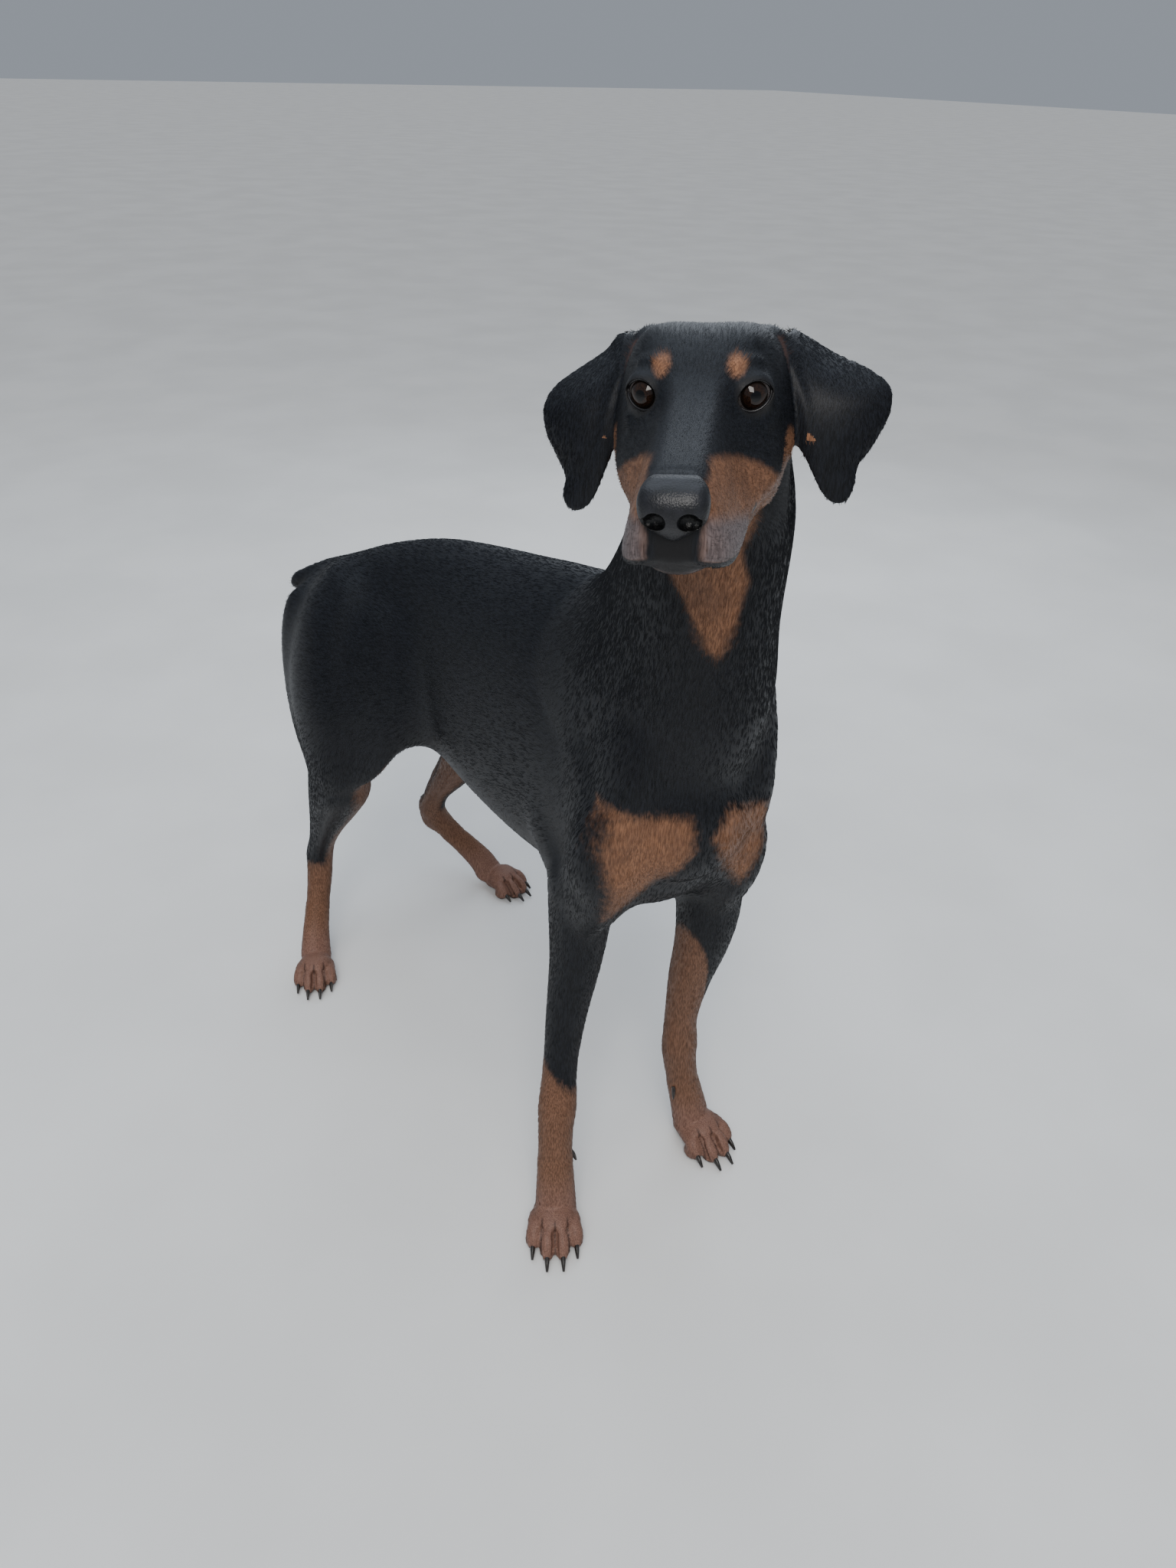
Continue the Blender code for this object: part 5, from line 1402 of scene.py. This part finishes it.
def nose_material():
    n = Nodes("nose_skin")
    pebbles = n.node("ShaderNodeTexVoronoi", feature="F1")
    pebbles.inputs["Scale"].default_value = 900.0
    n.tree.links.new(n.node("ShaderNodeTexCoord").outputs["Object"], pebbles.inputs["Vector"])
    worn = n.noise((120.0, 120.0, 120.0), detail=3.0)
    colour = n.mix(n.step(worn, 0.3, 0.7), (0.0055, 0.0058, 0.0072), (0.013, 0.0135, 0.0170))
    # Painted shade: near black inside the nostrils
    colour = n.mix(n.step(n.attribute("hollow"), -0.0006, 0.0010), colour, (0.0006, 0.0006, 0.0007))
    n.tree.links.new(colour, n.shader.inputs["Base Color"])
    n.shader.inputs["Roughness"].default_value = 0.40
    n.shader.inputs["Specular IOR Level"].default_value = 0.40
    n.bump(pebbles.outputs["Distance"], 0.30, 0.0005)
    return n.material


def lid_material():
    n = Nodes("wet_lids")
    worn = n.noise((400.0, 400.0, 400.0), detail=3.0)
    colour = n.mix(n.step(worn, 0.3, 0.7), (0.006, 0.006, 0.007), (0.014, 0.0135, 0.015))
    n.tree.links.new(colour, n.shader.inputs["Base Color"])
    n.shader.inputs["Roughness"].default_value = 0.34
    return n.material


def eye_material():
    """Pupil, iris and white, by the distance from the eye's sight line."""
    n = Nodes("eye_look")
    off = n.attribute("off")
    fibres = n.noise((900.0, 900.0, 900.0), detail=3.0)
    iris = n.mix(n.step(fibres, 0.35, 0.65), (0.0085, 0.0042, 0.0028), (0.020, 0.0095, 0.0054))
    ring = n.mix(n.step(off, 0.44, 0.60), iris, (0.006, 0.004, 0.003))
    pupil = n.mix(n.step(off, 0.22, 0.26), (0.0015, 0.0015, 0.002), ring)
    white = n.mix(n.step(fibres, 0.4, 0.7), (0.085, 0.078, 0.078), (0.050, 0.038, 0.036))
    colour = n.mix(n.step(off, 0.63, 0.70), pupil, white)
    n.tree.links.new(colour, n.shader.inputs["Base Color"])
    n.shader.inputs["Roughness"].default_value = 0.05
    n.shader.inputs["Specular IOR Level"].default_value = 0.28
    n.shader.inputs["Coat Weight"].default_value = 0.12
    n.shader.inputs["Coat Roughness"].default_value = 0.02
    return n.material


def horn_material():
    n = Nodes("claw_horn")
    grain = n.noise((700.0, 180.0, 700.0), detail=3.0)
    colour = n.mix(n.step(grain, 0.3, 0.7), (0.0075, 0.0065, 0.0060), (0.034, 0.028, 0.024))
    n.tree.links.new(colour, n.shader.inputs["Base Color"])
    n.shader.inputs["Roughness"].default_value = 0.33
    n.bump(grain, 0.2, 0.0003)
    return n.material


def floor_material():
    n = Nodes("pale_floor")
    cloud = n.noise((3.0, 3.0, 3.0), detail=4.0)
    colour = n.mix(n.step(cloud, 0.3, 0.7), (0.70, 0.70, 0.69), (0.76, 0.76, 0.75))
    n.tree.links.new(colour, n.shader.inputs["Base Color"])
    n.shader.inputs["Roughness"].default_value = 0.75
    return n.material


def eyeball_object(word, side):
    """The ball with its cornea's bulge, and each point's distance from the sight line."""
    eye = ball_object(f"eyeball_{word}", eye_frame(side), EYE_RADIUS, 48)
    points, normals = points_and_normals(eye.data)
    local = to_head(points, eye_frame(side)) / EYE_RADIUS
    off = np.hypot(local[:, 0], local[:, 2])
    ahead = local[:, 1] < 0.0
    bulge = np.where(ahead, 0.0009 * smoothstep(0.62, 0.0, off), 0.0)
    points += normals * bulge[:, None]
    eye.data.vertices.foreach_set("co", points.ravel())
    eye.data.update()
    store(eye.data, {"off": np.where(ahead, off, 1.0)})
    return eye


def lid_rims():
    """The dark wet edges of the lids, as rings on the eyeballs."""
    bm = bmesh.new()
    for side in (-1.0, 1.0):
        frame = eye_frame(side)
        inverse = frame.inverted()
        rings = []
        for point in eye_opening(side, (0.0,))[0]:
            local = inverse @ point
            x, z = local.x, local.z
            ahead = math.sqrt(max((EYE_RADIUS + 0.0006) ** 2 - x * x - z * z, 0.0))
            rings.append(Vector((x, -ahead, z)))
        count = len(rings)
        loops = []
        for k, centre in enumerate(rings):
            along = (rings[(k + 1) % count] - rings[k - 1]).normalized()
            out = centre.normalized()
            across = along.cross(out)
            turns = [2 * math.pi * j / 10 for j in range(10)]
            ring = [centre + (across * math.cos(a) * 1.1 + out * math.sin(a) * 0.9) * 0.00105 for a in turns]
            loops.append([bm.verts.new(frame @ point) for point in ring])
        for k in range(count):
            here, there = loops[k], loops[(k + 1) % count]
            for j in range(10):
                bm.faces.new((here[j], here[(j + 1) % 10], there[(j + 1) % 10], there[j]))
    return to_object(bm, "lid_rims")


def sunken(skin):
    """The skin drawn in by the coat's depth."""
    points, normals = points_and_normals(skin.data)
    depth = 0.0009 * smoothstep(0.03, 0.12, points[:, 2]) * (1.0 - 0.7 * smoothstep(0.78, 0.84, points[:, 2]))
    points -= normals * depth[:, None]
    skin.data.vertices.foreach_set("co", points.ravel())
    skin.data.update()
    return skin


def dress():
    look = coat_material("coat")
    skin = open_eyes(sunken(sewn_skin()))
    points, normals = points_and_normals(skin.data)
    store(skin.data, markings(points, normals))
    skin.data.shade_smooth()
    skin.data.materials.append(look)
    for coat in coat_pieces(skin, look):
        place_piece(coat)
    flesh = ["torso", "neck", "head", "tail"]
    for word in ("left", "right"):
        flesh += [f"{part}_{word}" for part in ("ear", "foreleg", "thigh", "shank", "forepaw", "hindpaw")]
    place_piece(skin, flesh)
    nose = nose_pad()
    nose.data.shade_smooth()
    nose_look = nose_material()
    nose.data.materials.append(nose_look)
    place_piece(nose, ["nose"])
    rims = lid_rims()
    rims.data.shade_smooth()
    rims.data.materials.append(lid_material())
    place_piece(rims)
    eye_look = eye_material()
    for side, word in ((-1.0, "right"), (1.0, "left")):
        eye = eyeball_object(word, side)
        eye.data.shade_smooth()
        eye.data.materials.append(eye_look)
        place_piece(eye, [f"eye_{word}"])
    horn_look = horn_material()
    for thing, node in claws():
        thing.data.shade_smooth()
        thing.data.materials.append(horn_look)
        place_piece(thing, [node])


def camera():
    lens = bpy.data.cameras.new("photo_view")
    lens.sensor_width = 36.0
    lens.lens = FOCAL
    view = bpy.data.objects.new("photo_view", lens)
    bpy.context.scene.collection.objects.link(view)
    ahead = VIEW_AHEAD.normalized()
    right = (VIEW_RIGHT - VIEW_RIGHT.project(ahead)).normalized()
    view.matrix_world = Matrix((right, right.cross(ahead), -ahead)).transposed().to_4x4()
    view.location = VIEW_FROM + SHIFT
    bpy.context.scene.camera = view


def light():
    world = bpy.data.worlds.new("studio")
    bpy.context.scene.world = world
    world.use_nodes = True
    back = world.node_tree.nodes["Background"]
    back.inputs["Color"].default_value = (0.80, 0.88, 1.0, 1.0)
    back.inputs["Strength"].default_value = WORLD_STRENGTH
    for name, place, size, power, colour in LAMPS:
        lamp = bpy.data.lights.new(name, "AREA")
        lamp.size = size
        lamp.energy = power
        lamp.color = colour
        thing = bpy.data.objects.new(name, lamp)
        bpy.context.scene.collection.objects.link(thing)
        thing.location = place
        thing.rotation_euler = (Vector((0, 0, 0.45)) - Vector(place)).to_track_quat("-Z", "Y").to_euler()


def daylight():
    lamp = bpy.data.lights.new("daylight", "SUN")
    lamp.energy = SUN_POWER
    lamp.angle = SUN_WIDTH
    lamp.color = (1.0, 0.98, 0.95)
    thing = bpy.data.objects.new("daylight", lamp)
    bpy.context.scene.collection.objects.link(thing)
    thing.rotation_euler = SUN_AHEAD.to_track_quat("-Z", "Y").to_euler()
    thing.visible_glossy = False


def floor_sheet():
    bm = bmesh.new()
    bmesh.ops.create_grid(bm, x_segments=8, y_segments=8, size=FLOOR_SIZE)
    floor = to_object(bm, "floor")
    floor.data.materials.append(floor_material())


dress()
camera()
light()
daylight()
floor_sheet()
